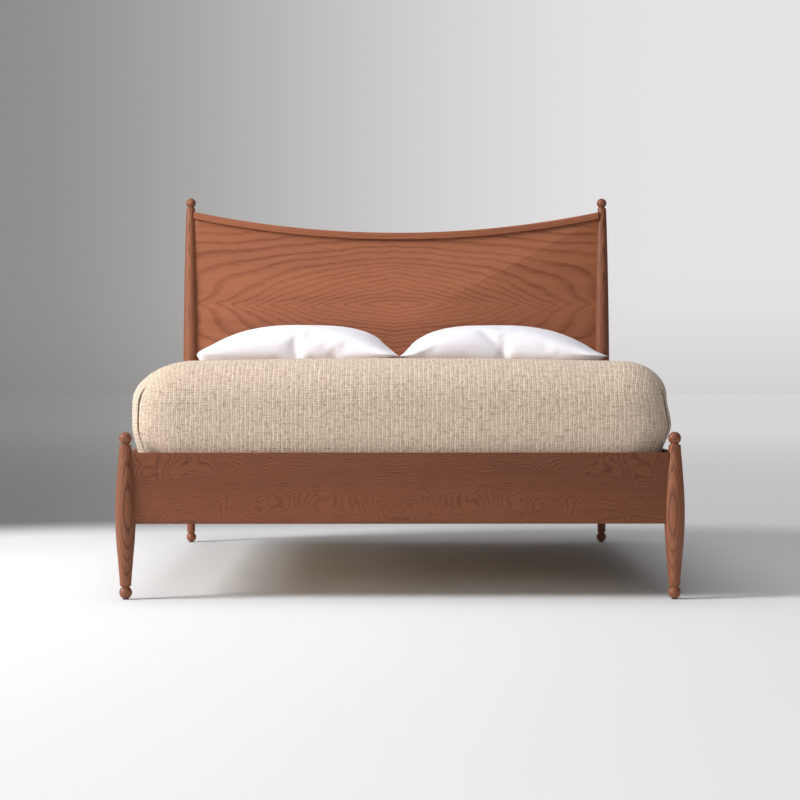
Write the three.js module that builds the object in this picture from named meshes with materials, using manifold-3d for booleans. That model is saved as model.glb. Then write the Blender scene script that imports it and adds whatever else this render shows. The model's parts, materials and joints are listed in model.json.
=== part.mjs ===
// A queen-size low-post bed: four turned posts with ball finials and ball feet, an arched flat
// headboard, a plank footboard, bolted side rails, a slatted base, a mattress and its bedding.
//
// Millimetres, +Z up. The origin is on the floor under the middle of the bed. +Y points to the
// head end, and +X to the right of someone who stands at the foot end. "Inwards" is towards the
// middle of the bed, "left" is -X and "right" is +X.

import * as THREE from "three";
import { mergeVertices } from "three/addons/utils/BufferGeometryUtils.js";
import Module from "manifold-3d";

// ---------------------------------------------------------------- driving dimensions

const GAP = 0.3; // between pieces that touch
const POST_X = 780; // post axes, to each side of the middle
const POST_Y = 1040; // post axes, towards the foot and the head
const POST_WIDEST = 29; // radius of every post at its fullest
const ROUND_SEGMENTS = 24;

// Each post swells from its bottom radius to POST_WIDEST at the height `widest`, and tapers
// again to its top radius. A fullness below 1 is a rounder shoulder, above 1 a slimmer one.
const FOOT_POST = {
  bottom: { z: 38, radius: 16.2, fullness: 1.4 },
  widest: 240,
  top: { z: 439.5, radius: 17, fullness: 1.2 },
};
const HEAD_POST = {
  bottom: { z: 38, radius: 15.2, fullness: 1.5 },
  widest: 520,
  top: { z: 1269.5, radius: 15.6, fullness: 0.8 },
};
const POST_CHAMFER = 2.5;
const POST_STEPS = 7; // outline points between an end of a post and its fullest part

const BALL_RADIUS = 18.3; // finials and feet alike
const NECK_RADIUS = 11.5; // the thin stem between a ball and its post
const NECK_HEIGHT = 3.7;
const BALL_STEPS = 7;
const DOWEL_RADIUS = 5;
const DOWEL_LENGTH = 22;

const GLIDE_RADIUS = 8.5;
const GLIDE_THICKNESS = 3;

const BOARD = { bottom: 215, top: 417, thickness: 25, ease: 2 }; // footboard and rails
const HOUSING_INSET = 15; // from a post's axis to the end of a board housed in it

const HEADBOARD_THICKNESS = 20;
const CAP = { height: 26, depth: 44, middleTop: 1175, endTop: 1253, inset: 12 };
const ARC_SEGMENTS = 24;

const MATTRESS = { width: 1524, length: 2032, height: 304, corner: 80, edge: 50 };
const MATTRESS_FOOT_GAP = 7.5; // from the footboard's inner face
const SLAT = { count: 13, width: 90, thickness: 20, top: 375, endGap: 2.5, ease: 4 };
const SLAT_SPAN = 1940; // between the middles of the first and the last slat
const LEDGER = { width: 27, height: 30, length: 2000, ease: 2 };
const BEAM = { width: 30, height: 80, endGap: 4, ease: 2 };
const HANGER = { steel: 3, length: 57, height: 72 };
const TAPE = { x: 400, width: 25, thickness: 1 };

const BRACKET = { steel: 3, bottom: 235, height: 80, cornerReach: 58, flange: 46 };
const BOLT = { radius: 4, headAcross: 13, headHeight: 5.5, depth: 15, reach: 82 };
const BOLT_HEIGHTS = [255, 295];

const COVERLET = { side: 776, foot: 1030, head: 1008, top: 686, bottom: 384, hang: 420 };
const COVERLET_TUCK = 4; // thickness where it is tucked down between the mattress and the boards
const COVERLET_ROUNDING = { corner: 105, edge: 72 };

const PILLOW = { width: 756, depth: 508, height: 132, crown: 130, waist: 9 };
const PILLOW_MIDDLES = { pillow_left: -376, pillow_right: 392 }; // along X
const PILLOW_Y = 745;

// ---------------------------------------------------------------- worked-out dimensions

const BOARD_HEIGHT = BOARD.top - BOARD.bottom;
const BOARD_MIDDLE = (BOARD.top + BOARD.bottom) / 2;
const BOARD_INNER_X = POST_X - BOARD.thickness / 2; // inner face of a side rail
const BOARD_INNER_Y = POST_Y - BOARD.thickness / 2; // inner face of a foot or head board
const SLAT_BOTTOM = SLAT.top - SLAT.thickness;
const MATTRESS_BOTTOM = SLAT.top + 2 * GAP;
const MATTRESS_FOOT = -(BOARD_INNER_Y - MATTRESS_FOOT_GAP);
const ARC_HALF_SPAN = POST_X - HEAD_POST.top.radius;
const ARC_SAG = CAP.endTop - CAP.middleTop;
const ARC_RADIUS = (ARC_HALF_SPAN ** 2 + ARC_SAG ** 2) / (2 * ARC_SAG);
const ARC_CENTRE_Z = CAP.middleTop + ARC_RADIUS;

// The height of an arc of the headboard's top, at a distance from the middle.
function arcHeight(radius, x) {
  return ARC_CENTRE_Z - Math.sqrt(radius ** 2 - x ** 2);
}

// ---------------------------------------------------------------- materials

const FINISHES = {
  headboardWood: { color: 0xa86a48, roughness: 0.45, metalness: 0 },
  footboardWood: { color: 0x7a4a31, roughness: 0.45, metalness: 0 },
  turnedWood: { color: 0x8e5638, roughness: 0.42, metalness: 0 },
  slatWood: { color: 0xcfb48c, roughness: 0.7, metalness: 0 },
  steel: { color: 0x35363a, roughness: 0.4, metalness: 0.9 },
  glide: { color: 0x2c2a29, roughness: 0.8, metalness: 0 },
  webbing: { color: 0xe6e2d8, roughness: 0.9, metalness: 0 },
  ticking: { color: 0xefece6, roughness: 0.95, metalness: 0 },
  coverlet: { color: 0xc9b698, roughness: 0.95, metalness: 0 },
  pillowcase: { color: 0xf1f1f4, roughness: 0.95, metalness: 0 },
};

// ---------------------------------------------------------------- solid helpers

const wasm = await Module();
wasm.setup();

function toSolid(geometry) {
  const bare = geometry.clone();
  bare.deleteAttribute("normal");
  bare.deleteAttribute("uv");
  const merged = mergeVertices(bare, 1e-3);
  return new wasm.Manifold(
    new wasm.Mesh({
      numProp: 3,
      vertProperties: new Float32Array(merged.attributes.position.array),
      triVerts: new Uint32Array(merged.index.array),
    }),
  );
}

function toGeometry(solid) {
  const mesh = solid.getMesh();
  const geometry = new THREE.BufferGeometry();
  geometry.setAttribute("position", new THREE.BufferAttribute(mesh.vertProperties, 3));
  geometry.setIndex(new THREE.BufferAttribute(mesh.triVerts, 1));
  geometry.computeVertexNormals();
  return geometry;
}

function cut(geometry, cutters) {
  const cleared = cutters.reduce((solid, c) => solid.subtract(toSolid(c)), toSolid(geometry));
  return toGeometry(cleared);
}

function join(first, second) {
  return toGeometry(toSolid(first).add(toSolid(second)));
}

// A box between two corners.
function boxBetween(low, high) {
  const size = high.map((value, i) => value - low[i]);
  const middle = high.map((value, i) => (value + low[i]) / 2);
  return new THREE.BoxGeometry(...size).translate(...middle);
}

// A turned solid about the Z axis, from an outline of [radius, height] pairs.
function turned(outline, segments = ROUND_SEGMENTS) {
  const points = outline.map(([radius, height]) => new THREE.Vector2(radius, height));
  return new THREE.LatheGeometry(points, segments).rotateX(Math.PI / 2);
}

// A rectangle whose corners are cut off by `ease`, about its own middle.
function easedRectangle(width, height, ease) {
  const shape = new THREE.Shape();
  const [x, y] = [width / 2, height / 2];
  shape.moveTo(-x + ease, -y);
  shape.lineTo(x - ease, -y);
  shape.lineTo(x, -y + ease);
  shape.lineTo(x, y - ease);
  shape.lineTo(x - ease, y);
  shape.lineTo(-x + ease, y);
  shape.lineTo(-x, y - ease);
  shape.lineTo(-x, -y + ease);
  shape.closePath();
  return shape;
}

// A board along X or Y with eased long edges, about its own middle.
function boardAlong(direction, length, thickness, height, ease) {
  const section = easedRectangle(thickness, height, ease);
  const board = new THREE.ExtrudeGeometry(section, { depth: length, bevelEnabled: false });
  board.translate(0, 0, -length / 2).rotateX(Math.PI / 2);
  return direction === "x" ? board.rotateZ(Math.PI / 2) : board;
}

// A flat slab with rounded upright corners and rounded top and bottom edges.
function roundedSlab({ side, foot, head, bottom, top, corner, edge, edgeSteps }) {
  const [x, low, high] = [side - edge, foot + edge, head - edge];
  const radius = corner - edge;
  const outline = new THREE.Shape();
  outline.absarc(x - radius, low + radius, radius, -Math.PI / 2, 0);
  outline.absarc(x - radius, high - radius, radius, 0, Math.PI / 2);
  outline.absarc(-x + radius, high - radius, radius, Math.PI / 2, Math.PI);
  outline.absarc(-x + radius, low + radius, radius, Math.PI, 1.5 * Math.PI);
  const slab = new THREE.ExtrudeGeometry(outline, {
    depth: top - bottom - 2 * edge,
    curveSegments: 6,
    bevelSize: edge,
    bevelThickness: edge,
    bevelSegments: edgeSteps,
  });
  return slab.translate(0, 0, bottom + edge);
}

// ---------------------------------------------------------------- scene helpers

const bed = new THREE.Group();

function place(name, geometry, finish, position = [0, 0, 0]) {
  const mesh = new THREE.Mesh(geometry, new THREE.MeshStandardMaterial(FINISHES[finish]));
  mesh.name = name;
  mesh.position.set(...position);
  bed.add(mesh);
  return mesh;
}

// The four corners of the bed; `inX` and `inY` point inwards.
const CORNERS = [
  { name: "head", side: "left", inX: 1, inY: -1 },
  { name: "head", side: "right", inX: -1, inY: -1 },
  { name: "foot", side: "left", inX: 1, inY: 1 },
  { name: "foot", side: "right", inX: -1, inY: 1 },
].map((corner) => ({
  ...corner,
  x: -corner.inX * POST_X,
  y: -corner.inY * POST_Y,
  post: corner.name === "head" ? HEAD_POST : FOOT_POST,
}));

// ---------------------------------------------------------------- posts, finials and feet

function postRadius(post, z) {
  const end = z < post.widest ? post.bottom : post.top;
  const share = (z - end.z) / (post.widest - end.z);
  const swell = Math.sin((share * Math.PI) / 2) ** end.fullness;
  return end.radius + (POST_WIDEST - end.radius) * swell;
}

// Heights from one end of a post to its fullest part, both left out, closer near the end.
function swellHeights(end, widest) {
  const steps = Array.from({ length: POST_STEPS }, (_, i) => (i + 1) / (POST_STEPS + 1));
  return steps.map((share) => end.z + (widest - end.z) * share ** 1.3);
}

// Closed outline of a post, with a dowel hole in each end.
function postOutline(post) {
  const bore = DOWEL_RADIUS + GAP;
  const depth = DOWEL_LENGTH + GAP;
  const heights = [
    post.bottom.z + POST_CHAMFER,
    ...swellHeights(post.bottom, post.widest),
    post.widest,
    ...swellHeights(post.top, post.widest).reverse(),
    post.top.z - POST_CHAMFER,
  ];
  return [
    [0, post.bottom.z + depth],
    [bore, post.bottom.z + depth],
    [bore, post.bottom.z],
    [post.bottom.radius - POST_CHAMFER, post.bottom.z],
    ...heights.map((z) => [postRadius(post, z), z]),
    [post.top.radius - POST_CHAMFER, post.top.z],
    [bore, post.top.z],
    [bore, post.top.z - depth],
    [0, post.top.z - depth],
  ];
}

// The recess in a post that takes the end of a board, in the post's own frame. `across` is the
// axis that the board crosses: 0 for a board that leaves along X, 1 for one along Y.
function housing(corner, along, inset, halfThickness, bottom, top) {
  const inward = [corner.inX, corner.inY][along];
  const low = [-halfThickness - GAP, -halfThickness - GAP, bottom - GAP];
  const high = [halfThickness + GAP, halfThickness + GAP, top + GAP];
  const near = inward * (inset - GAP);
  const far = inward * 2 * POST_WIDEST;
  low[along] = Math.min(near, far);
  high[along] = Math.max(near, far);
  return boxBetween(low, high);
}

function postHousings(corner) {
  const board = [HOUSING_INSET, BOARD.thickness / 2, BOARD.bottom, BOARD.top];
  const housings = [housing(corner, 0, ...board), housing(corner, 1, ...board)];
  if (corner.name === "head") {
    const capTop = arcHeight(ARC_RADIUS, POST_X - CAP.inset);
    const capBottom = arcHeight(ARC_RADIUS + CAP.height, POST_X - POST_WIDEST);
    const panel = [HOUSING_INSET, HEADBOARD_THICKNESS / 2, BOARD.top, capTop];
    const capEnd = [CAP.inset, CAP.depth / 2, capBottom, capTop];
    housings.push(housing(corner, 0, ...panel), housing(corner, 0, ...capEnd));
  }
  return housings;
}

// A ball on its neck and dowel: the ball's middle is at z = 0 and the dowel points down.
function ballOutline(flatRadius) {
  const neckAngle = -Math.acos(NECK_RADIUS / BALL_RADIUS);
  const flatAngle = Math.acos(flatRadius / BALL_RADIUS);
  const shoulder = -BALL_RADIUS * Math.sin(-neckAngle) - NECK_HEIGHT;
  const ball = Array.from({ length: BALL_STEPS + 1 }, (_, i) => {
    const angle = neckAngle + ((flatAngle - neckAngle) * i) / BALL_STEPS;
    return [BALL_RADIUS * Math.cos(angle), BALL_RADIUS * Math.sin(angle)];
  });
  const crown = flatRadius > 0 ? [[0, BALL_RADIUS * Math.sin(flatAngle)]] : [];
  return [
    [0, shoulder - DOWEL_LENGTH],
    [DOWEL_RADIUS, shoulder - DOWEL_LENGTH],
    [DOWEL_RADIUS, shoulder],
    [NECK_RADIUS, shoulder],
    ...ball,
    ...crown,
  ];
}

const NECK_DROP = Math.sqrt(BALL_RADIUS ** 2 - NECK_RADIUS ** 2) + NECK_HEIGHT;
const FOOT_BALL_Z = HEAD_POST.bottom.z - GAP - NECK_DROP;
const FOOT_FLAT = Math.sqrt(BALL_RADIUS ** 2 - (FOOT_BALL_Z - GLIDE_THICKNESS - GAP) ** 2);

for (const corner of CORNERS) {
  const { name, side, x, y, post } = corner;
  const postSolid = cut(turned(postOutline(post)), postHousings(corner));
  place(`${name}_post_${side}`, postSolid, "turnedWood", [x, y, 0]);

  const finialZ = post.top.z + GAP + NECK_DROP;
  place(`${name}_finial_${side}`, turned(ballOutline(0)), "turnedWood", [x, y, finialZ]);

  const foot = turned(ballOutline(FOOT_FLAT)).rotateX(Math.PI);
  place(`${name}_ball_foot_${side}`, foot, "turnedWood", [x, y, FOOT_BALL_Z]);

  const glide = turned([
    [0, 0],
    [GLIDE_RADIUS, 0],
    [GLIDE_RADIUS, GLIDE_THICKNESS],
    [0, GLIDE_THICKNESS],
  ]);
  place(`${name}_glide_${side}`, glide, "glide", [x, y, 0]);
}

// ---------------------------------------------------------------- boards, bolts and brackets

const ENDS = [
  { name: "head", sign: 1 },
  { name: "foot", sign: -1 },
];
const SIDES = [
  { name: "left", sign: -1 },
  { name: "right", sign: 1 },
];

const CROSS_BOARD_LENGTH = 2 * (POST_X - HOUSING_INSET);
const RAIL_LENGTH = 2 * (POST_Y - HOUSING_INSET);

// A rod along Y, from its middle outwards by half its length each way.
function rodAlongY(radius, length, sides) {
  return new THREE.CylinderGeometry(radius, radius, length, sides);
}

// The blind holes that one cross board has for the bolts of its two corner brackets.
function boltHoles(end) {
  const depth = BOLT.depth + GAP + 1; // one millimetre longer, so that the mouth is cut clean
  const middle = end.sign * (BOARD_INNER_Y + BOLT.depth + GAP - depth / 2);
  const spots = SIDES.flatMap((side) => BOLT_HEIGHTS.map((z) => [side.sign * (POST_X - BOLT.reach), z]));
  return spots.map(([x, z]) => rodAlongY(BOLT.radius + GAP, depth, 12).translate(x, middle, z));
}

const CROSS_BOARD_NAMES = { head: "headboard_bottom_rail", foot: "footboard_panel" };
for (const end of ENDS) {
  const plank = boardAlong("x", CROSS_BOARD_LENGTH, BOARD.thickness, BOARD_HEIGHT, BOARD.ease);
  plank.translate(0, end.sign * POST_Y, BOARD_MIDDLE);
  place(CROSS_BOARD_NAMES[end.name], cut(plank, boltHoles(end)), "footboardWood");
}

for (const side of SIDES) {
  const rail = boardAlong("y", RAIL_LENGTH, BOARD.thickness, BOARD_HEIGHT, BOARD.ease);
  place(`side_rail_${side.name}`, rail, "footboardWood", [side.sign * POST_X, 0, BOARD_MIDDLE]);

  const ledger = boardAlong("y", LEDGER.length, LEDGER.width, LEDGER.height, LEDGER.ease);
  const ledgerX = side.sign * (BOARD_INNER_X - GAP - LEDGER.width / 2);
  const ledgerZ = SLAT_BOTTOM - GAP - LEDGER.height / 2;
  place(`slat_ledger_${side.name}`, ledger, "slatWood", [ledgerX, 0, ledgerZ]);
}

// A folded steel plate that crosses the inner corner behind a post, in plan: `u` and `v` run
// inwards from the post's axis along X and Y, so the boards' faces are at half a thickness.
function bracketPlan(corner) {
  const face = BOARD.thickness / 2 + GAP;
  const bend = BRACKET.cornerReach;
  const tip = bend + BRACKET.flange;
  const back = face + BRACKET.steel;
  const backBend = bend + BRACKET.steel * (Math.SQRT2 - 1);
  const outline = [
    [face, tip],
    [face, bend],
    [bend, face],
    [tip, face],
    [tip, back],
    [backBend, back],
    [back, backBend],
    [back, tip],
  ];
  return new THREE.Shape(outline.map(([u, v]) => new THREE.Vector2(corner.inX * u, corner.inY * v)));
}

const BOLT_HEAD_FACE = BOARD.thickness / 2 + 2 * GAP + BRACKET.steel;

// A hexagon-headed bolt along Y, with the underside of its head at y = 0 and its tip at -Y.
function boltSolid() {
  const length = BOLT_HEAD_FACE - BOARD.thickness / 2 + BOLT.depth;
  const shank = rodAlongY(BOLT.radius, length + 1, 12).translate(0, (1 - length) / 2, 0);
  const headRadius = BOLT.headAcross / Math.sqrt(3);
  const head = rodAlongY(headRadius, BOLT.headHeight, 6).translate(0, BOLT.headHeight / 2, 0);
  return join(shank, head);
}

for (const corner of CORNERS) {
  const { name, side, x, y, inX, inY } = corner;
  const plate = new THREE.ExtrudeGeometry(bracketPlan(corner), {
    depth: BRACKET.height,
    bevelEnabled: false,
  });
  const holes = BOLT_HEIGHTS.map((z) =>
    rodAlongY(BOLT.radius + GAP, 20 * BRACKET.steel, 12).translate(
      inX * BOLT.reach,
      (inY * BOARD.thickness) / 2,
      z - BRACKET.bottom,
    ),
  );
  place(`corner_bracket_${name}_${side}`, cut(plate, holes), "steel", [x, y, BRACKET.bottom]);

  BOLT_HEIGHTS.forEach((z, i) => {
    const bolt = boltSolid();
    if (inY < 0) bolt.rotateZ(Math.PI);
    const spot = [x + inX * BOLT.reach, y + inY * BOLT_HEAD_FACE, z];
    place(`bracket_bolt_${name}_${side}_${["lower", "upper"][i]}`, bolt, "steel", spot);
  });
}

// ---------------------------------------------------------------- headboard

// The outline between two arcs about the same middle, cut off plumb at `halfWidth`.
function arcedStrip(upperRadius, lowerRadius, halfWidth) {
  const shape = new THREE.Shape();
  const upper = Math.asin(halfWidth / upperRadius);
  const lower = Math.asin(halfWidth / lowerRadius);
  const down = -Math.PI / 2;
  shape.absarc(0, ARC_CENTRE_Z, lowerRadius, down - lower, down + lower, false);
  shape.absarc(0, ARC_CENTRE_Z, upperRadius, down + upper, down - upper, true);
  shape.closePath();
  return shape;
}

// The headboard panel stands on the bottom rail, and its top follows the cap.
function panelOutline(arcRadius, halfWidth, bottom) {
  const shape = new THREE.Shape();
  const angle = Math.asin(halfWidth / arcRadius);
  shape.moveTo(-halfWidth, bottom);
  shape.lineTo(halfWidth, bottom);
  shape.absarc(0, ARC_CENTRE_Z, arcRadius, -Math.PI / 2 + angle, -Math.PI / 2 - angle, true);
  shape.closePath();
  return shape;
}

// Extrudes an upright outline along Y, about the plane through the head posts.
function uprightPlate(outline, thickness) {
  const plate = new THREE.ExtrudeGeometry(outline, {
    depth: thickness,
    curveSegments: ARC_SEGMENTS,
    bevelEnabled: false,
  });
  return plate.translate(0, 0, -thickness / 2).rotateX(Math.PI / 2);
}

const capStrip = arcedStrip(ARC_RADIUS, ARC_RADIUS + CAP.height, POST_X - CAP.inset);
place("headboard_cap_rail", uprightPlate(capStrip, CAP.depth), "headboardWood", [0, POST_Y, 0]);

const panelArc = ARC_RADIUS + CAP.height + GAP;
const panelShape = panelOutline(panelArc, POST_X - HOUSING_INSET, BOARD.top + GAP);
const panelPlate = uprightPlate(panelShape, HEADBOARD_THICKNESS);
place("headboard_panel", panelPlate, "headboardWood", [0, POST_Y, 0]);

// ---------------------------------------------------------------- slatted base

const slatLength = 2 * (BOARD_INNER_X - SLAT.endGap);
for (let i = 0; i < SLAT.count; i += 1) {
  const slat = boardAlong("x", slatLength, SLAT.width, SLAT.thickness, SLAT.ease);
  const y = -SLAT_SPAN / 2 + (SLAT_SPAN * i) / (SLAT.count - 1);
  const number = String(i + 1).padStart(2, "0");
  place(`slat_${number}`, slat, "slatWood", [0, y, SLAT.top - SLAT.thickness / 2]);
}

const beamLength = 2 * (BOARD_INNER_Y - BEAM.endGap);
const beam = boardAlong("y", beamLength, BEAM.width, BEAM.height, BEAM.ease);
const beamTop = SLAT_BOTTOM - GAP;
place("centre_beam", beam, "slatWood", [0, 0, beamTop - BEAM.height / 2]);

// A steel shoe for one end of the beam: a back, a floor and two cheeks.
function hangerSolid(end) {
  const beamBottom = beamTop - BEAM.height;
  const inner = BEAM.width / 2 + GAP;
  const outer = inner + HANGER.steel;
  const floor = beamBottom - GAP - HANGER.steel;
  const [back, mouth] = [BOARD_INNER_Y - GAP, BOARD_INNER_Y - GAP - HANGER.length];
  const block = boxBetween([-outer, mouth, floor], [outer, back, floor + HANGER.height]);
  const room = boxBetween(
    [-inner, mouth - 1, beamBottom - GAP],
    [inner, back - HANGER.steel, floor + HANGER.height + 1],
  );
  const shoe = cut(block, [room]);
  return end.sign < 0 ? shoe.rotateZ(Math.PI) : shoe;
}

for (const end of ENDS) place(`beam_hanger_${end.name}`, hangerSolid(end), "steel");

const tapeLength = SLAT_SPAN + SLAT.width;
for (const side of SIDES) {
  const tape = new THREE.BoxGeometry(TAPE.width, tapeLength, TAPE.thickness);
  const tapeZ = SLAT_BOTTOM - GAP - TAPE.thickness / 2;
  place(`slat_tape_${side.name}`, tape, "webbing", [side.sign * TAPE.x, 0, tapeZ]);
}

// ---------------------------------------------------------------- mattress and bedding

const mattressBox = {
  side: MATTRESS.width / 2,
  foot: MATTRESS_FOOT,
  head: MATTRESS_FOOT + MATTRESS.length,
  bottom: MATTRESS_BOTTOM,
  top: MATTRESS_BOTTOM + MATTRESS.height,
  corner: MATTRESS.corner,
  edge: MATTRESS.edge,
  edgeSteps: 4,
};
place("mattress", roundedSlab(mattressBox), "ticking");

// The coverlet is a shell, open below and at the head: it hangs full over the rails, and below
// their top edges it is tucked in close to the mattress.
function coverletSolid() {
  const reach = 4 * MATTRESS.corner; // how far the cutting solids run past the open ends
  const hanging = roundedSlab({
    ...COVERLET_ROUNDING,
    side: COVERLET.side,
    foot: -COVERLET.foot,
    head: COVERLET.head + reach,
    bottom: COVERLET.hang,
    top: COVERLET.top,
    edgeSteps: 4,
  });
  const tucked = roundedSlab({
    ...mattressBox,
    side: mattressBox.side + GAP + COVERLET_TUCK,
    foot: mattressBox.foot - GAP - COVERLET_TUCK,
    head: COVERLET.head + reach,
    bottom: COVERLET.bottom - MATTRESS.edge,
    top: COVERLET.top - MATTRESS.edge,
    corner: MATTRESS.corner + COVERLET_TUCK,
  });
  const room = roundedSlab({
    ...mattressBox,
    side: mattressBox.side + GAP,
    foot: mattressBox.foot - GAP,
    head: mattressBox.head + 2 * reach,
    bottom: mattressBox.bottom - reach,
    top: mattressBox.top + GAP,
  });
  const wide = 2 * COVERLET.side;
  const long = 2 * COVERLET.foot;
  const below = boxBetween([-wide, -long, -wide], [wide, 2 * long, COVERLET.bottom]);
  const beyond = boxBetween([-wide, COVERLET.head, -wide], [wide, 2 * long, wide]);
  return cut(join(hanging, tucked), [room, below, beyond]);
}
place("coverlet", coverletSolid(), "coverlet");

// A lens-shaped cushion with square corners, whose sides draw in between them.
function pillowSolid() {
  const [x, y] = [PILLOW.width / 2 - PILLOW.crown, PILLOW.depth / 2 - PILLOW.crown];
  const waist = PILLOW.waist;
  const outline = new THREE.Shape();
  outline.moveTo(-x, -y);
  outline.lineTo(0, -y + waist);
  outline.lineTo(x, -y);
  outline.lineTo(x - waist, 0);
  outline.lineTo(x, y);
  outline.lineTo(0, y - waist);
  outline.lineTo(-x, y);
  outline.lineTo(-x + waist, 0);
  outline.closePath();
  const seam = 6; // height of the flat edge all round
  return new THREE.ExtrudeGeometry(outline, {
    depth: seam,
    bevelSize: PILLOW.crown,
    bevelThickness: (PILLOW.height - seam) / 2,
    bevelSegments: 6,
  }).translate(0, 0, -seam / 2);
}

const pillowZ = COVERLET.top + GAP + PILLOW.height / 2;
for (const [name, x] of Object.entries(PILLOW_MIDDLES)) {
  place(name, pillowSolid(), "pillowcase", [x, PILLOW_Y, pillowZ]);
}

export default bed;
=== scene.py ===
"""The finished look of the low-post bed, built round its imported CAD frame.

Metres, +Z up. +Y points to the head end and +X to the right of someone who stands at the foot.
Each finished piece takes its place and outer size from the CAD node that it stands for.
"""

import json
import math

import bmesh
import bpy
import numpy as np
from mathutils import Euler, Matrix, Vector, noise

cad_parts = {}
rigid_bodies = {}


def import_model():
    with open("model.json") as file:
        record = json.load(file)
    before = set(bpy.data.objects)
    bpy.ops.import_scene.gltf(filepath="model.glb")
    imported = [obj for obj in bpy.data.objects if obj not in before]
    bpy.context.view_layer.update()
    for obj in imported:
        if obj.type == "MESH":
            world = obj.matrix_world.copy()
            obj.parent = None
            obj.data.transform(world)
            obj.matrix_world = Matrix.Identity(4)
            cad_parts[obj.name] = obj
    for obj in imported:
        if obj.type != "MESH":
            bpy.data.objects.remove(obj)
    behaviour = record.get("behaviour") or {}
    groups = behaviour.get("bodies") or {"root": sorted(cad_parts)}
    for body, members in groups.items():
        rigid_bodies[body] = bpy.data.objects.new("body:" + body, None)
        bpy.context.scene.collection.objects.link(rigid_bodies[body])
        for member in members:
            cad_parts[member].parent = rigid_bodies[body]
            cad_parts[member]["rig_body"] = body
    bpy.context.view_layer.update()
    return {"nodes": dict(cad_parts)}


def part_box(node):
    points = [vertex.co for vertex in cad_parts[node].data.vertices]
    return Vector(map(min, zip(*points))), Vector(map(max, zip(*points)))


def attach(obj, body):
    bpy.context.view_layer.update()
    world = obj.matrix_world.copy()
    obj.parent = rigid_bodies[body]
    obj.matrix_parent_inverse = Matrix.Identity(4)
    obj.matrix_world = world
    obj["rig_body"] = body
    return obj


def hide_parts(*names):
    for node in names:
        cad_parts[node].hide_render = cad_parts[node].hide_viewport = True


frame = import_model()
MM = 0.001

SIDES = ("left", "right")
ENDS = {"head": 1, "foot": -1}  # with the direction of each along Y
CORNERS = [(end, side) for end in ENDS for side in SIDES]
SLATS = sorted(node for node in frame["nodes"] if node.startswith("slat_") and node[5:].isdigit())


# ------------------------------------------------------------------ shader building


def srgb(red, green, blue):
    """A colour given as 0-255 display values, as the linear values that shaders use."""

    def linear(value):
        share = value / 255
        return share / 12.92 if share <= 0.04045 else ((share + 0.055) / 1.055) ** 2.4

    return (linear(red), linear(green), linear(blue), 1.0)


class Shader:
    """A Principled material under construction. Each method adds one node and gives its output."""

    def __init__(self, name, roughness=0.5, **settings):
        self.material = bpy.data.materials.new(name)
        self.material.use_nodes = True
        self.tree = self.material.node_tree
        self.surface = self.tree.nodes["Principled BSDF"]
        self.surface.inputs["Roughness"].default_value = roughness
        for socket, value in settings.items():
            self.surface.inputs[socket.replace("_", " ")].default_value = value
        self.bump_normal = None

    def node(self, kind, output=0, inputs=None, **settings):
        node = self.tree.nodes.new("ShaderNode" + kind)
        for key, value in settings.items():
            setattr(node, key, value)
        for key, value in (inputs or {}).items():
            self.feed(node.inputs[key], value)
        return node.outputs[output]

    def feed(self, socket, value):
        if isinstance(value, bpy.types.NodeSocket):
            self.tree.links.new(value, socket)
        else:
            socket.default_value = value

    def position(self):
        return self.node("TexCoord", output="Object")

    def flat_position(self):
        return self.node("TexCoord", output="UV")

    def split(self, vector):
        node = self.tree.nodes.new("ShaderNodeSeparateXYZ")
        self.tree.links.new(vector, node.inputs[0])
        return node.outputs[0], node.outputs[1], node.outputs[2]

    def join(self, x=0.0, y=0.0, z=0.0):
        return self.node("CombineXYZ", inputs={0: x, 1: y, 2: z})

    def math(self, operation, first, second=0.0, clamp=False):
        inputs = {0: first, 1: second}
        return self.node("Math", inputs=inputs, operation=operation, use_clamp=clamp)

    def plus(self, first, second):
        return self.math("ADD", first, second)

    def minus(self, first, second):
        return self.math("SUBTRACT", first, second)

    def times(self, first, second):
        return self.math("MULTIPLY", first, second)

    def scaled(self, vector, scale):
        return self.node("VectorMath", inputs={0: vector, 1: scale}, operation="MULTIPLY")

    def noise(self, vector, scale=1.0, detail=2.0, roughness=0.5):
        inputs = {"Vector": vector, "Scale": scale, "Detail": detail, "Roughness": roughness}
        return self.node("TexNoise", inputs=inputs)

    def spread(self, value, low, high, to_low=0.0, to_high=1.0, smooth=True):
        """Maps low..high to to_low..to_high, and holds the value beyond both ends."""
        inputs = {0: value, 1: low, 2: high, 3: to_low, 4: to_high}
        kind = "SMOOTHSTEP" if smooth else "LINEAR"
        return self.node("MapRange", inputs=inputs, interpolation_type=kind)

    def mix(self, factor, first, second, blend="MIX"):
        node = self.tree.nodes.new("ShaderNodeMix")
        node.data_type = "RGBA"
        node.blend_type = blend
        self.feed(node.inputs[0], factor)
        self.feed(node.inputs[6], first)
        self.feed(node.inputs[7], second)
        return node.outputs[2]

    def bump(self, height, distance, strength=1.0):
        """Adds a relief of the given depth in metres on top of the reliefs before it."""
        inputs = {"Height": height, "Distance": distance, "Strength": strength}
        if self.bump_normal is not None:
            inputs["Normal"] = self.bump_normal
        self.bump_normal = self.node("Bump", inputs=inputs)
        self.tree.links.new(self.bump_normal, self.surface.inputs["Normal"])

    def colour(self, value):
        self.feed(self.surface.inputs["Base Color"], value)

    def vary_roughness(self, value):
        self.feed(self.surface.inputs["Roughness"], value)


# ------------------------------------------------------------------ wood

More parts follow.
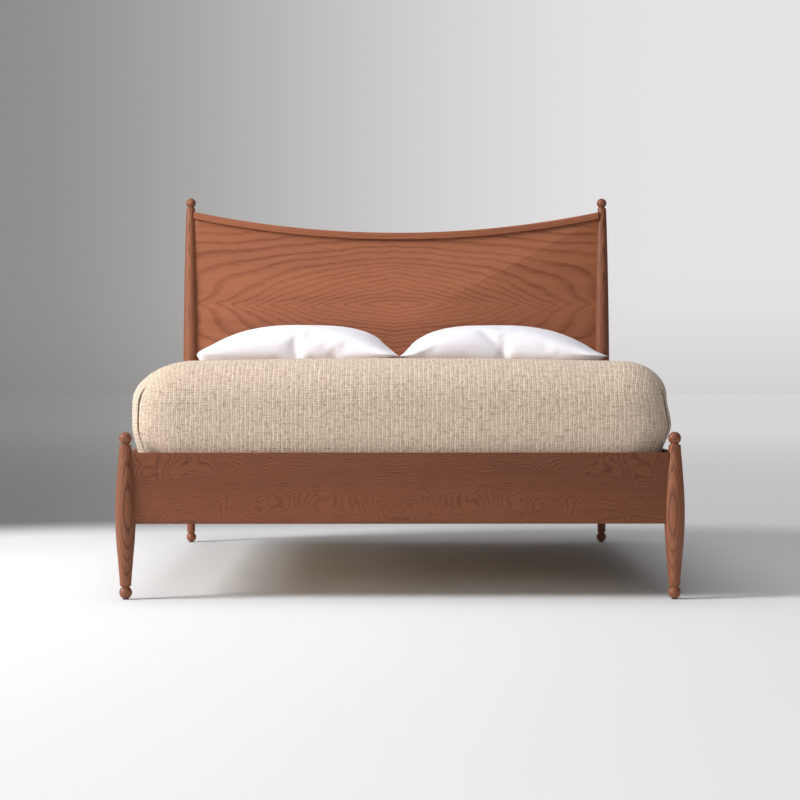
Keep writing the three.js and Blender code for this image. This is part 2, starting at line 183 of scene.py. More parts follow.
GRAIN_RUN = {"x": (0.05, 1, 1), "y": (1, 0.05, 1), "z": (1, 1, 0.05)}  # stretch along the fibres
STREAK_SCALE, PORE_SCALE, CLOUD_SCALE = 330.0, 1500.0, 11.0
STREAK_TONE = 0.9  # how much the fibres' streaks darken and lighten the wood
PORE_RELIEF, RING_RELIEF = 0.22 * MM, 0.1 * MM
RING_UNEVENNESS = 3.2  # of the rings' spacing, in rings


def ring_lines(shader, distance, spacing):
    """0 in the pale early wood and up to 1 in the dark late wood of each growth ring."""
    uneven = shader.noise(shader.join(x=shader.times(distance, 9.0)))
    stretched = shader.plus(distance, shader.times(uneven, RING_UNEVENNESS * spacing))
    phase = shader.math("FRACT", shader.math("DIVIDE", stretched, spacing))
    rise = shader.spread(phase, 0.45, 0.88)
    fall = shader.spread(phase, 0.9, 1.0, 1.0, 0.0)
    return shader.times(rise, fall)


def finish_wood(shader, distance, spacing, grain, pale, dark, contrast=1.0, fraying=0.55):
    """Colours and relief of planed, oiled wood, from its distance to the heart of the tree."""
    fibres = shader.scaled(shader.position(), GRAIN_RUN[grain])
    streaks = shader.noise(fibres, scale=STREAK_SCALE, detail=3.0, roughness=0.65)
    pores = shader.spread(shader.noise(fibres, scale=PORE_SCALE, detail=1.0), 0.56, 0.74)
    clouds = shader.noise(fibres, scale=CLOUD_SCALE, detail=3.0)
    off_centre = shader.minus(streaks, 0.5)
    frayed = shader.times(off_centre, fraying * spacing)
    rings = ring_lines(shader, shader.plus(distance, frayed), spacing)
    strength = shader.spread(clouds, 0.3, 0.7, 0.45 * contrast, contrast)
    late = shader.math("MULTIPLY", rings, strength, clamp=True)
    tone = shader.plus(late, shader.times(off_centre, STREAK_TONE))
    body = shader.mix(shader.spread(tone, -0.25, 1.15, smooth=False), pale, dark)
    shaded = shader.mix(shader.spread(clouds, 0.25, 0.75, 0.0, 0.3), body, dark, "MULTIPLY")
    lifted = shader.mix(shader.spread(clouds, 0.25, 0.75, 0.75, 0.25), shaded, body)
    shader.colour(shader.mix(shader.times(pores, 0.3), lifted, dark, "MULTIPLY"))
    shader.vary_roughness(shader.spread(streaks, 0.3, 0.7, 0.42, 0.56))
    shader.bump(shader.minus(streaks, pores), PORE_RELIEF, 0.6)
    shader.bump(rings, RING_RELIEF, 0.5)
    return shader.material


def wood_shader(name, coat=0.05):
    look = {"Specular_IOR_Level": 0.35, "Coat_Weight": coat, "Coat_Roughness": 0.3}
    return Shader(name, roughness=0.48, **look)


def veneer_leaf(shader, waves):
    """(distance from the middle joint, height) on two mirrored veneer leaves.

    `waves` are (size, across, along) of each distortion of the height.
    """
    x, _, z = shader.split(shader.position())
    from_middle = shader.math("ABSOLUTE", shader.plus(x, JOINT_SHIFT))
    leaf = shader.join(x=from_middle, z=z, y=shader.times(x, LEAF_DIFFERENCE))
    height = z
    for size, across, along in waves:
        wave = shader.noise(shader.scaled(leaf, (along, 1.0, across)), detail=1.5)
        swing = shader.times(shader.minus(wave, 0.5), size)
        height = shader.plus(height, swing)
    return from_middle, height


def lens_distance(shader, leaf, heart_height, opening, taper, reach):
    """Growth rings cut as nested lenses that close in points along the middle of the panel.

    The heart sinks away from the face by `opening` for a metre from the joint, to the power
    `taper`. Further above and below than `reach` the rings run nearly level.
    """
    from_middle, height = leaf
    above = shader.minus(height, heart_height)
    rounded = shader.plus(shader.math("POWER", above, 2.0), LENS_TIP_RADIUS**2)
    sunk = shader.times(shader.math("POWER", from_middle, taper), opening)
    level = shader.plus(shader.times(rounded, reach**-2), 1.0)
    return shader.plus(shader.math("SQRT", rounded), shader.math("DIVIDE", sunk, level))


JOINT_SHIFT = 8 * MM  # from the bed's middle to the joint of the two veneer leaves
LEAF_DIFFERENCE = 0.06  # how far the second leaf's figure drifts away from the first one's
LENS_TIP_RADIUS = 3.5 * MM
HEADBOARD_PALE, HEADBOARD_DARK = srgb(168, 104, 70), srgb(108, 46, 17)
FOOTBOARD_PALE, FOOTBOARD_DARK = srgb(136, 79, 47), srgb(92, 42, 19)
TURNED_PALE, TURNED_DARK = srgb(156, 94, 61), srgb(66, 30, 14)
SLAT_PALE, SLAT_DARK = srgb(222, 194, 152), srgb(184, 146, 100)
HEADBOARD_WAVES = [(0.10, 2.6, 2.1), (0.03, 9.0, 5.0), (0.009, 34.0, 26.0)]
FOOTBOARD_WAVES = [(0.36, 5.2, 4.6), (0.05, 15.0, 13.0), (0.010, 42.0, 30.0)]
CALM_FROM, CALM_SHARE = 0.14, 0.3  # where the headboard's outer rings widen, and how much
END_LEAN_FROM, END_LEAN = 0.42, 0.6  # where the footboard's grain starts to rise, and its slope


def headboard_veneer():
    """Two mirrored leaves with pointed lenses, and wider rings towards the top and bottom."""
    shader = wood_shader("headboard_veneer")
    leaf = veneer_leaf(shader, HEADBOARD_WAVES)
    distance = lens_distance(shader, leaf, heart_height=0.909, opening=0.28, taper=1.3, reach=0.12)
    beyond = shader.math("MAXIMUM", shader.minus(distance, CALM_FROM), 0.0)
    eased = shader.minus(distance, shader.times(beyond, CALM_SHARE))
    tones = {"pale": HEADBOARD_PALE, "dark": HEADBOARD_DARK, "contrast": 0.72, "fraying": 0.7}
    return finish_wood(shader, eased, 15 * MM, "x", **tones)


def footboard_veneer():
    """Small mirrored swirls, with the grain rising towards both ends."""
    shader = wood_shader("footboard_veneer")
    from_middle, height = veneer_leaf(shader, FOOTBOARD_WAVES)
    end = shader.math("MAXIMUM", shader.minus(from_middle, END_LEAN_FROM), 0.0)
    leaned = shader.minus(height, shader.times(end, END_LEAN))
    leaf = (from_middle, leaned)
    distance = lens_distance(shader, leaf, heart_height=0.27, opening=0.13, taper=1.1, reach=0.2)
    tones = {"pale": FOOTBOARD_PALE, "dark": FOOTBOARD_DARK, "contrast": 0.85, "fraying": 0.7}
    return finish_wood(shader, distance, 9.5 * MM, "x", **tones)


def long_grain_distance(shader, along, wander, heart):
    """Nearly straight rings that run along a board, with the heart of the tree beside it."""
    coordinates = dict(zip("xyz", shader.split(shader.position())))
    scales = [2.2 if axis == along else 14.0 for axis in "xyz"]
    stretched = shader.scaled(shader.position(), scales)
    waves = shader.times(shader.minus(shader.noise(stretched), 0.5), wander)
    squares = 0.0
    for axis in "xyz".replace(along, ""):
        offset = shader.minus(coordinates[axis], heart[axis])
        squares = shader.plus(shader.math("POWER", offset, 2.0), squares)
    return shader.plus(shader.math("SQRT", squares), waves)


def board_wood(name, along, spacing, heart, pale, dark):
    shader = wood_shader(name)
    distance = long_grain_distance(shader, along, 0.05, heart)
    return finish_wood(shader, distance, spacing, along, pale, dark, 0.8)


TURNED_HEART = (-12 * MM, 35 * MM)  # across and along, from a post's axis to the tree's heart
TURNED_LEAN = 0.014  # of the heart against the axis
TURNED_DRIFT = 30 * MM


def turned_wood():
    """Rings about a heart just outside each post, so that the swell cuts them into long arches."""
    shader = wood_shader("turned_wood", 0.2)
    x, y, z = shader.split(shader.position())
    low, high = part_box("head_post_right")
    middle = (low + high) / 2
    from_axis_x = shader.minus(shader.math("ABSOLUTE", x), middle.x)
    from_axis_y = shader.minus(shader.math("ABSOLUTE", y), middle.y)
    lean = shader.times(z, TURNED_LEAN)
    wander = shader.noise(shader.scaled(shader.position(), (9.0, 9.0, 2.4)))
    drift = shader.times(shader.minus(wander, 0.5), TURNED_DRIFT)
    across = shader.plus(shader.plus(from_axis_x, TURNED_HEART[0]), drift)
    away = shader.plus(shader.plus(from_axis_y, TURNED_HEART[1]), lean)
    squares = shader.plus(shader.math("POWER", across, 2.0), shader.math("POWER", away, 2.0))
    distance = shader.math("SQRT", squares)
    return finish_wood(shader, distance, 4.2 * MM, "z", TURNED_PALE, TURNED_DARK, 0.9)


# ------------------------------------------------------------------ steel, plastic and webbing


def dark_steel():
    shader = Shader("dark_steel", roughness=0.42, Metallic=0.9)
    mottle = shader.noise(shader.position(), scale=160.0, detail=4.0)
    grit = shader.noise(shader.position(), scale=2200.0, detail=1.0)
    shader.colour(shader.mix(mottle, srgb(44, 45, 49), srgb(78, 79, 84)))
    shader.vary_roughness(shader.spread(mottle, 0.3, 0.7, 0.34, 0.55))
    shader.bump(grit, 0.04 * MM, 0.5)
    return shader.material


def glide_plastic():
    shader = Shader("glide_plastic", roughness=0.7)
    mottle = shader.noise(shader.position(), scale=900.0, detail=3.0)
    shader.colour(shader.mix(mottle, srgb(38, 36, 35), srgb(60, 57, 55)))
    shader.vary_roughness(shader.spread(mottle, 0.3, 0.7, 0.6, 0.85))
    shader.bump(mottle, 0.1 * MM, 0.5)
    return shader.material


def woven(shader, coordinates, thread):
    """A plain weave's relief: 1 on top of a thread and 0 between threads."""
    first, second, _ = shader.split(coordinates)
    turns = math.pi / thread
    warp = shader.math("SINE", shader.times(first, turns))
    weft = shader.math("SINE", shader.times(second, turns))
    return shader.math("ABSOLUTE", shader.times(warp, weft))


def webbing_cloth():
    shader = Shader("webbing_cloth", roughness=0.9, Sheen_Weight=0.2, Sheen_Roughness=0.5)
    weave = woven(shader, shader.flat_position(), 1.3 * MM)
    stain = shader.noise(shader.position(), scale=24.0, detail=3.0)
    pale = shader.mix(stain, srgb(232, 227, 216), srgb(214, 208, 194))
    # painted shade between the threads: the colour darkens where the weave's relief falls to 0
    shader.colour(shader.mix(weave, srgb(176, 170, 156), pale))
    shader.bump(weave, 0.4 * MM, 0.8)
    return shader.material


# ------------------------------------------------------------------ bedding cloths

GAUZE_CELL = (13 * MM, 7.6 * MM)  # across and along, between the lines of tacking
# painted shade and light: the gauze's hollows are darkened and its crests lightened by the relief's height
GAUZE_SHADED_HOLLOW, GAUZE_LIT_CREST = srgb(174, 151, 128), srgb(234, 213, 192)
GAUZE_FADED = srgb(207, 187, 166)
GAUZE_RELIEF, GAUZE_WEAVE_RELIEF = 1.0 * MM, 0.12 * MM
GAUZE_THREAD = 0.9 * MM
RIB_DRIFT = [((9, 4, 1), 9 * MM, 0), ((45, 24, 1), 4.6 * MM, 1)]  # noise scale, size, colour part
ROW_DRIFT = [((4, 9, 1), 8 * MM, 1), ((22, 45, 1), 3.4 * MM, 2)]
RIB_HEIGHT, HALF_RIB_HEIGHT, ROW_HEIGHT, FINE_HEIGHT = 0.6, 0.34, 0.55, 0.3
RIB_SHARPNESS, HALF_RIB_SHARPNESS, ROW_SHARPNESS = 3.0, 1.5, 1.6
FLATTENED_CELLS = (0.48, 0.7, 0.0, 0.42)  # the noise's range, and how much it takes off the relief


def tacked_lines(shader, place, bend, spacing, sharpness):
    """Wavy lines of tacking at an even spacing: 1 on a line and 0 between two of them."""
    turns = shader.times(shader.plus(place, bend), 2 * math.pi / spacing)
    wave = shader.times(shader.plus(shader.math("SINE", turns), 1.0), 0.5)
    return shader.math("POWER", wave, sharpness)


def line_drift(shader, flat, scale, size, part):
    """Sideways drift of a line, in metres, from the noise's red, green or blue part."""
    inputs = {"Vector": shader.scaled(flat, scale), "Detail": 2.0}
    drift = shader.node("TexNoise", output=1, inputs=inputs)
    return shader.times(shader.minus(shader.split(drift)[part], 0.5), size)


def gauze_relief(shader, flat):
    """The puckered height of the gauze, from about 0 in a hollow to 1 on a crest."""
    u, v, _ = shader.split(flat)
    bend_u, bend_v = [
        shader.plus(*[line_drift(shader, flat, *drift) for drift in drifts])
        for drifts in (RIB_DRIFT, ROW_DRIFT)
    ]

    def patches(scale, *levels, detail=2.0):
        return shader.spread(shader.noise(shader.scaled(flat, scale), detail=detail), *levels)

    across, along = GAUZE_CELL
    ribs = tacked_lines(shader, u, bend_u, across, RIB_SHARPNESS)
    half_ribs = tacked_lines(shader, u, bend_u, across / 2, HALF_RIB_SHARPNESS)
    rows = tacked_lines(shader, v, bend_v, along, ROW_SHARPNESS)
    rib_share = patches((60, 34, 1), 0.35, 0.65, 0.3, 1.0)
    row_share = patches((26, 60, 1), 0.38, 0.66, 0.4, 0.95)
    flattened = patches((75, 100, 1), *FLATTENED_CELLS, detail=1.0)
    fine = shader.noise(shader.scaled(flat, (330, 150, 1)), detail=3.0, roughness=0.6)
    relief = shader.times(ribs, shader.times(rib_share, RIB_HEIGHT))
    relief = shader.plus(relief, shader.times(rows, shader.times(row_share, ROW_HEIGHT)))
    relief = shader.plus(relief, shader.times(half_ribs, HALF_RIB_HEIGHT))
    relief = shader.minus(relief, flattened)
    return shader.plus(relief, shader.times(fine, FINE_HEIGHT))


def crinkled_gauze():
    """Double gauze: two thin layers tacked together in small squares that pucker between."""
    shader = Shader("crinkled_gauze", roughness=0.92, Sheen_Weight=0.2, Sheen_Roughness=0.45)
    flat = shader.flat_position()
    relief = gauze_relief(shader, flat)
    # painted shade in the hollows of the relief and painted light on its crests
    height = shader.spread(relief, -0.05, 1.0, smooth=False)
    body = shader.mix(height, GAUZE_SHADED_HOLLOW, GAUZE_LIT_CREST)
    fading = shader.spread(shader.noise(flat, scale=7.0, detail=3.0), 0.3, 0.7, 0.0, 0.3)
    shader.colour(shader.mix(fading, body, GAUZE_FADED))
    shader.bump(relief, GAUZE_RELIEF)
    shader.bump(woven(shader, flat, GAUZE_THREAD), GAUZE_WEAVE_RELIEF, 0.4)
    return shader.material


def pillow_cotton():
    shader = Shader("pillow_cotton", roughness=0.85, Sheen_Weight=0.15, Sheen_Roughness=0.4)
    place = shader.position()
    rumple = shader.noise(place, scale=14.0, detail=3.0)
    weave = shader.noise(place, scale=2600.0, detail=1.0)
    shader.colour(shader.mix(rumple, srgb(239, 237, 243), srgb(234, 232, 240)))
    shader.bump(rumple, 1.2 * MM, 0.5)
    shader.bump(weave, 0.08 * MM, 0.5)
    return shader.material


def ticking_cloth():
    """Pale mattress ticking with narrow woven stripes along the bed."""
    shader = Shader("ticking_cloth", roughness=0.9, Sheen_Weight=0.15, Sheen_Roughness=0.5)
    x, _, z = shader.split(shader.position())
    stripe_pitch = 24 * MM
    share = shader.math("FRACT", shader.math("DIVIDE", shader.plus(x, z), stripe_pitch))
    edge = shader.math("ABSOLUTE", shader.minus(share, 0.5))
    stripe = shader.spread(edge, 0.07, 0.09, 1.0, 0.0)
    weave = shader.noise(shader.scaled(shader.position(), (1, 1, 0.6)), scale=1500.0, detail=1.0)
    cloud = shader.noise(shader.position(), scale=12.0, detail=2.0)
    cloth = shader.mix(cloud, srgb(240, 237, 230), srgb(230, 226, 217))
    shader.colour(shader.mix(shader.times(stripe, 0.5), cloth, srgb(188, 192, 196)))
    shader.bump(weave, 0.15 * MM, 0.6)
    return shader.material


# ------------------------------------------------------------------ mesh building


SMOOTH_ANGLE = 30.0


def shade_smooth(mesh, sharp_angle=SMOOTH_ANGLE):
    mesh.polygons.foreach_set("use_smooth", [True] * len(mesh.polygons))
    mesh.set_sharp_from_angle(angle=math.radians(sharp_angle))


def skin(solid, rows, closed=False):
    """Joins each row of vertices to the next with four-sided faces."""
    for first, second in zip(rows, rows[1:]):
        for i in range(len(first) if closed else len(first) - 1):
            k = (i + 1) % len(first)
            solid.faces.new([first[i], first[k], second[k], second[i]])


def new_piece(name, mesh_or_bmesh, smooth_angle=SMOOTH_ANGLE):
    """A shown object from a mesh in the frame's own coordinates, with smooth shading."""
    if isinstance(mesh_or_bmesh, bmesh.types.BMesh):
        mesh = bpy.data.meshes.new(name)
        bmesh.ops.recalc_face_normals(mesh_or_bmesh, faces=mesh_or_bmesh.faces)
        mesh_or_bmesh.to_mesh(mesh)
        mesh_or_bmesh.free()
    else:
        mesh = mesh_or_bmesh
    shade_smooth(mesh, smooth_angle)
    piece = bpy.data.objects.new(name, mesh)
    bpy.context.scene.collection.objects.link(piece)
    return piece


def stand_for(node, piece, material):
    """Shows a finished piece in place of its CAD node, on that node's body, with the given material."""
    piece.data.materials.clear()
    piece.data.materials.append(material)
    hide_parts(node)
    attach(piece, frame["nodes"][node]["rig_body"])


def box_bmesh(low, high):
    solid = bmesh.new()
    bmesh.ops.create_cube(solid, size=1.0)
    middle, size = (low + high) / 2, high - low
    for vertex in solid.verts:
        vertex.co = Vector((vertex.co[i] * size[i] + middle[i] for i in range(3)))
    return solid


def ease_edges(solid, radius, steps=4, sharper_than=40.0):
    """Rounds every edge of a solid that turns by more than the given angle."""
    limit = math.radians(sharper_than)
    edges = [e for e in solid.edges if e.is_manifold and e.calc_face_angle(0.0) > limit]
    rounding = {"offset": radius, "segments": steps, "profile": 0.5, "clamp_overlap": True}
    bmesh.ops.bevel(solid, geom=edges, affect="EDGES", **rounding)
    return solid


def eased_board(node, radius, steps=4):
    """A board that fills its CAD node's box, with every edge rounded."""
    return new_piece(node + "_board", ease_edges(box_bmesh(*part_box(node)), radius, steps))


ON_AXIS = 1e-7  # a radius below this is a point on the axis


def turned_bmesh(outline, middle, segments=96):
    """A solid turned about an upright axis, from (radius, height) pairs that start and end on it."""
    solid = bmesh.new()
    rings = []
    for radius, height in outline:
        ring = []
        for i in range(segments if radius > ON_AXIS else 1):
            angle = 2 * math.pi * i / segments
            x, y = middle.x + radius * math.cos(angle), middle.y + radius * math.sin(angle)
            ring.append(solid.verts.new((x, y, height)))
        rings.append(ring)
    for first, second in zip(rings, rings[1:]):
        for i in range(segments):
            k = (i + 1) % segments
            corners = [ring[j % len(ring)] for ring, j in ((first, i), (first, k), (second, k), (second, i))]
            solid.faces.new(list(dict.fromkeys(corners)))  # each point once, for the fan at an end
    return solid


def cut_away(piece, cutters):
    """Takes the cutters, given as bmeshes, out of a piece."""
    for cutter in cutters:
        tool = new_piece("cutter", cutter)
        change = piece.modifiers.new("cut", "BOOLEAN")
        change.operation = "DIFFERENCE"
        change.solver = "EXACT"
        change.object = tool
        apply_modifiers(piece)
        bpy.data.objects.remove(tool)
    shade_smooth(piece.data)


def apply_modifiers(piece):
    """Makes the modified shape the piece's own mesh."""
    bpy.context.view_layer.update()
    shape = piece.evaluated_get(bpy.context.evaluated_depsgraph_get())
    mesh = bpy.data.meshes.new_from_object(shape)
    piece.modifiers.clear()
    piece.data = mesh


# ------------------------------------------------------------------ posts, finials and feet

GAP = 0.3 * MM  # between pieces that touch
POST_WIDEST = 29 * MM
DOWEL_RADIUS = 5 * MM
DOWEL_LENGTH = 22 * MM
POST_EASE = 2.5 * MM
POST_ROWS = 110
POST_SHAPES = {  # radius and fullness at each end, and the height of the fullest part
    "foot": {"bottom": (16.2 * MM, 1.4), "widest": 240 * MM, "top": (17 * MM, 1.2)},
    "head": {"bottom": (15.2 * MM, 1.5), "widest": 520 * MM, "top": (15.6 * MM, 0.8)},
}
BALL_RADIUS = 18.3 * MM
NECK_RADIUS = 11.5 * MM
NECK_HEIGHT = 3.7 * MM
COLLAR = 0.8 * MM  # width and height of the step at the foot of a neck
TURNED_SEGMENTS = {"ball": 64, "glide": 48}
CROSS_BOARDS = {"head": "headboard_bottom_rail", "foot": "footboard_panel"}


def rounded_corner(radius, height, ease, up, steps=6):
    """Points from the flat end of a turned piece round onto its side. `up` is 1 at a top."""
    points = []
    for i in range(steps + 1):
        angle = 0.5 * math.pi * i / steps
        inward, downward = ease * (1 - math.sin(angle)), ease * (1 - math.cos(angle))
        points.append((radius - inward, height - up * downward))
    return points


def post_side(shape, low, high):
    """Outline of the side of a post, from just above its bottom to just below its top."""

    def radius_at(height):
        lower = height < shape["widest"]
        end, (radius, fullness) = (low, shape["bottom"]) if lower else (high, shape["top"])
        swell = math.sin(0.5 * math.pi * (height - end) / (shape["widest"] - end)) ** fullness
        return radius + (POST_WIDEST - radius) * swell

    start, length = low + POST_EASE, high - low - 2 * POST_EASE
    heights = [start + length * i / POST_ROWS for i in range(POST_ROWS + 1)]
    return [(radius_at(height), height) for height in heights]


def post_outline(shape, low, high):
    bore, depth = DOWEL_RADIUS + GAP, DOWEL_LENGTH + GAP
    side = post_side(shape, low, high)
    bottom = [(bore, low + depth), (bore, low)] + rounded_corner(side[0][0], low, POST_EASE, -1)[:-1]
    top = rounded_corner(side[-1][0], high, POST_EASE, 1)[-2::-1] + [(bore, high), (bore, high - depth)]
    return [(0.0, low + depth)] + bottom + side + top + [(0.0, high - depth)]


def housing_for(node):
    """A box a little larger than a CAD node, to cut its place out of a post."""
    low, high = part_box(node)
    margin = Vector((GAP, GAP, GAP))
    return box_bmesh(low - margin, high + margin)


def make_posts(material):
    for end, side in CORNERS:
        node = f"{end}_post_{side}"
        low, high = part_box(node)
        outline = post_outline(POST_SHAPES[end], low.z, high.z)
        post = new_piece(node + "_turned", turned_bmesh(outline, (low + high) / 2))
        cutters = [housing_for(CROSS_BOARDS[end]), housing_for(f"side_rail_{side}")]
        if end == "head":
            cutters += [panel_solid(GAP), cap_solid(GAP)]
        cut_away(post, cutters)
        stand_for(node, post, material)


def ball_outline(middle_height, tip_height, dowel_end, up):
    """A ball on its neck and dowel. `up` is 1 where the ball sits on top of its dowel."""
    neck_angle = math.acos(NECK_RADIUS / BALL_RADIUS)
    shoulder = middle_height - up * (BALL_RADIUS * math.sin(neck_angle) + NECK_HEIGHT)
    tip_angle = math.asin(min(1.0, abs(tip_height - middle_height) / BALL_RADIUS))
    steps = 40
    outline = [(0.0, dowel_end), (DOWEL_RADIUS, dowel_end), (DOWEL_RADIUS, shoulder)]
    outline += [(NECK_RADIUS + COLLAR, shoulder), (NECK_RADIUS, shoulder + up * COLLAR)]
    for i in range(steps + 1):
        angle = -neck_angle + (tip_angle + neck_angle) * i / steps
        outline.append((BALL_RADIUS * math.cos(angle), middle_height + up * BALL_RADIUS * math.sin(angle)))
    flat_tip = 0.01 * MM  # a wider end than this gets a flat of its own
    if outline[-1][0] > flat_tip:
        outline.append((0.0, tip_height))
    else:
        outline[-1] = (0.0, tip_height)
    return outline


def make_balls(material):
    for end, side in CORNERS:
        for kind, up in (("finial", 1), ("ball_foot", -1)):
            node = f"{end}_{kind}_{side}"
            low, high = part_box(node)
            tip, dowel_end = (high.z, low.z) if up > 0 else (low.z, high.z)
            if kind == "finial":
                middle_height = tip - BALL_RADIUS
            else:
                drop = math.sqrt(BALL_RADIUS**2 - NECK_RADIUS**2) + NECK_HEIGHT
                middle_height = high.z - DOWEL_LENGTH - drop
            outline = ball_outline(middle_height, tip, dowel_end, up)
            solid = turned_bmesh(outline, (low + high) / 2, TURNED_SEGMENTS["ball"])
            stand_for(node, new_piece(node + "_turned", solid), material)


def make_glides(material):
    lower_ease, upper_ease = 0.8 * MM, 0.3 * MM
    for end, side in CORNERS:
        node = f"{end}_glide_{side}"
        low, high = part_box(node)
        radius = (high.x - low.x) / 2
        rim = rounded_corner(radius, low.z, lower_ease, -1)
        rim += rounded_corner(radius, high.z, upper_ease, 1)[::-1]
        outline = [(0.0, low.z)] + rim + [(0.0, high.z)]
        solid = turned_bmesh(outline, (low + high) / 2, TURNED_SEGMENTS["glide"])
        stand_for(node, new_piece(node + "_disc", solid), material)


# ------------------------------------------------------------------ boards and the headboard

BOARD_EASE = 2.5 * MM
LEDGER_EASE, SLAT_EASE, PANEL_EASE = 2 * MM, 4 * MM, 1 * MM
CAP_HEIGHT = 26 * MM
CAP_EASE = 3 * MM
CAP_MIDDLE_TOP = 1175 * MM
BOLT_RADIUS = 4 * MM
BOLT_LEVELS = ("lower", "upper")


def headboard_arc():
    """Middle height and radius of the arc along the top of the cap rail."""
    _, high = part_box("headboard_cap_rail")
    half_width, sag = high.x, high.z - CAP_MIDDLE_TOP
    radius = (half_width**2 + sag**2) / (2 * sag)
    return CAP_MIDDLE_TOP + radius, radius


def arc_points(radius, half_width, steps=72):
    """Points along one of the headboard's arcs, from -X to +X."""
    middle, _ = headboard_arc()
    reach = math.asin(half_width / radius)
    angles = [reach * (2 * i / steps - 1) for i in range(steps + 1)]
    return [(radius * math.sin(a), middle - radius * math.cos(a)) for a in angles]


def upright_plate(outline, near, far):
    """A plate between two depths along Y, from its outline of (x, z) pairs."""
    solid = bmesh.new()
    front = [solid.verts.new((x, near, z)) for x, z in outline]
    back = [solid.verts.new((x, far, z)) for x, z in outline]
    solid.faces.new(front)
    solid.faces.new(back[::-1])
    for i in range(len(outline)):
        k = (i + 1) % len(outline)
        solid.faces.new([front[i], back[i], back[k], front[k]])
    bmesh.ops.recalc_face_normals(solid, faces=solid.faces)
    return solid


def cap_solid(margin=0.0):
    """The bent cap rail, or with a margin the housing for it."""
    _, radius = headboard_arc()
    low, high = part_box("headboard_cap_rail")
    top = arc_points(radius - margin, high.x + margin)
    bottom = arc_points(radius + CAP_HEIGHT + margin, high.x + margin)
    return upright_plate(top + bottom[::-1], low.y - margin, high.y + margin)


def panel_solid(margin=0.0):
    """The panel under the cap rail, or with a margin the housing for it."""
    _, radius = headboard_arc()
    low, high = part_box("headboard_panel")
    top = arc_points(radius + CAP_HEIGHT + GAP - margin, high.x + margin)
    bottom = [(high.x + margin, low.z - margin), (low.x - margin, low.z - margin)]
    return upright_plate(top + bottom, low.y - margin, high.y + margin)


def make_headboard(veneer, cap_wood):
    cap = new_piece("headboard_cap_rail_bent", ease_edges(cap_solid(), CAP_EASE))
    stand_for("headboard_cap_rail", cap, cap_wood)
    panel = new_piece("headboard_panel_veneered", ease_edges(panel_solid(), PANEL_EASE, 2))
    stand_for("headboard_panel", panel, veneer)


def bolt_hole(node):
    """The blind hole that a bracket bolt's shank needs in the board behind it."""
    low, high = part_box(node)
    middle = (low + high) / 2
    radius = BOLT_RADIUS + GAP
    hole = bmesh.new()
    size = {"radius1": radius, "radius2": radius, "depth": high.y - low.y + 2 * GAP}
    bmesh.ops.create_cone(hole, cap_ends=True, segments=24, **size)
    bmesh.ops.rotate(hole, verts=hole.verts, matrix=Euler((math.pi / 2, 0, 0)).to_matrix())
    bmesh.ops.translate(hole, verts=hole.verts, vec=middle)
    return hole


def make_boards(footboard_wood, rail_wood, pale_wood):
    for end, node in CROSS_BOARDS.items():
        board = eased_board(node, BOARD_EASE)
        bolts = [f"bracket_bolt_{end}_{side}_{level}" for side in SIDES for level in BOLT_LEVELS]
        cut_away(board, [bolt_hole(bolt) for bolt in bolts])
        stand_for(node, board, footboard_wood)
    for side in SIDES:
        rail = eased_board(f"side_rail_{side}", BOARD_EASE)
        stand_for(f"side_rail_{side}", rail, rail_wood)
        ledger = eased_board(f"slat_ledger_{side}", LEDGER_EASE)
        stand_for(f"slat_ledger_{side}", ledger, pale_wood["y"])
    stand_for("centre_beam", eased_board("centre_beam", LEDGER_EASE), pale_wood["y"])
    for node in SLATS:
        stand_for(node, eased_board(node, SLAT_EASE, 5), pale_wood["x"])


# ------------------------------------------------------------------ bolts and steel fittings

BOLT_HEAD_ACROSS = 13 * MM
BOLT_HEAD_HEIGHT = 5.5 * MM
BOLT_SEGMENTS = 72
BOLT_FACE_SHARE = 0.94  # of the head's width, inside its chamfer
BOLT_CHAMFER = math.radians(30)
BOLT_TIP_EASE = 0.8 * MM
THREAD_PITCH, THREAD_DEPTH, THREAD_START = 1.25 * MM, 0.35 * MM, 1.0 * MM


def bolt_bmesh(node, into_board):
    """A hexagon bolt along Y: `into_board` is 1 where its shank points to +Y."""
    low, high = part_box(node)
    middle = (low + high) / 2
    tip, head_top = (high.y, low.y) if into_board > 0 else (low.y, high.y)
    under_head = head_top + into_board * BOLT_HEAD_HEIGHT
    flat_radius = BOLT_FACE_SHARE * BOLT_HEAD_ACROSS / 2
    slope = math.tan(BOLT_CHAMFER)
    solid = bmesh.new()
    rings = []

    def hexagon(angle):
        sector = (angle % (math.pi / 3)) - math.pi / 6
        return BOLT_HEAD_ACROSS / 2 / math.cos(sector)

    def chamfer(radius):
        return head_top + into_board * max(0.0, radius - flat_radius) * slope

    def add_ring(radius_at, depth_at):
        ring = []
        for i in range(BOLT_SEGMENTS):
            angle = 2 * math.pi * i / BOLT_SEGMENTS
            radius = radius_at(angle) if callable(radius_at) else radius_at
            y = depth_at(radius) if callable(depth_at) else depth_at
            spot = (middle.x + radius * math.cos(angle), y, middle.z + radius * math.sin(angle))
            ring.append(solid.verts.new(spot))
        rings.append(ring)

    add_ring(flat_radius, head_top)
    add_ring(hexagon, chamfer)
    add_ring(hexagon, under_head)
    add_ring(BOLT_RADIUS, under_head)
    turns = int((abs(tip - under_head) - 1.5 * THREAD_START) / THREAD_PITCH)
    for i in range(2 * turns):
        depth = THREAD_START + i * THREAD_PITCH / 2
        add_ring(BOLT_RADIUS - (THREAD_DEPTH if i % 2 else 0.0), under_head + into_board * depth)
    add_ring(BOLT_RADIUS - BOLT_TIP_EASE, tip)
    skin(solid, rings, closed=True)
    solid.faces.new(rings[0])
    solid.faces.new(rings[-1][::-1])
    return solid


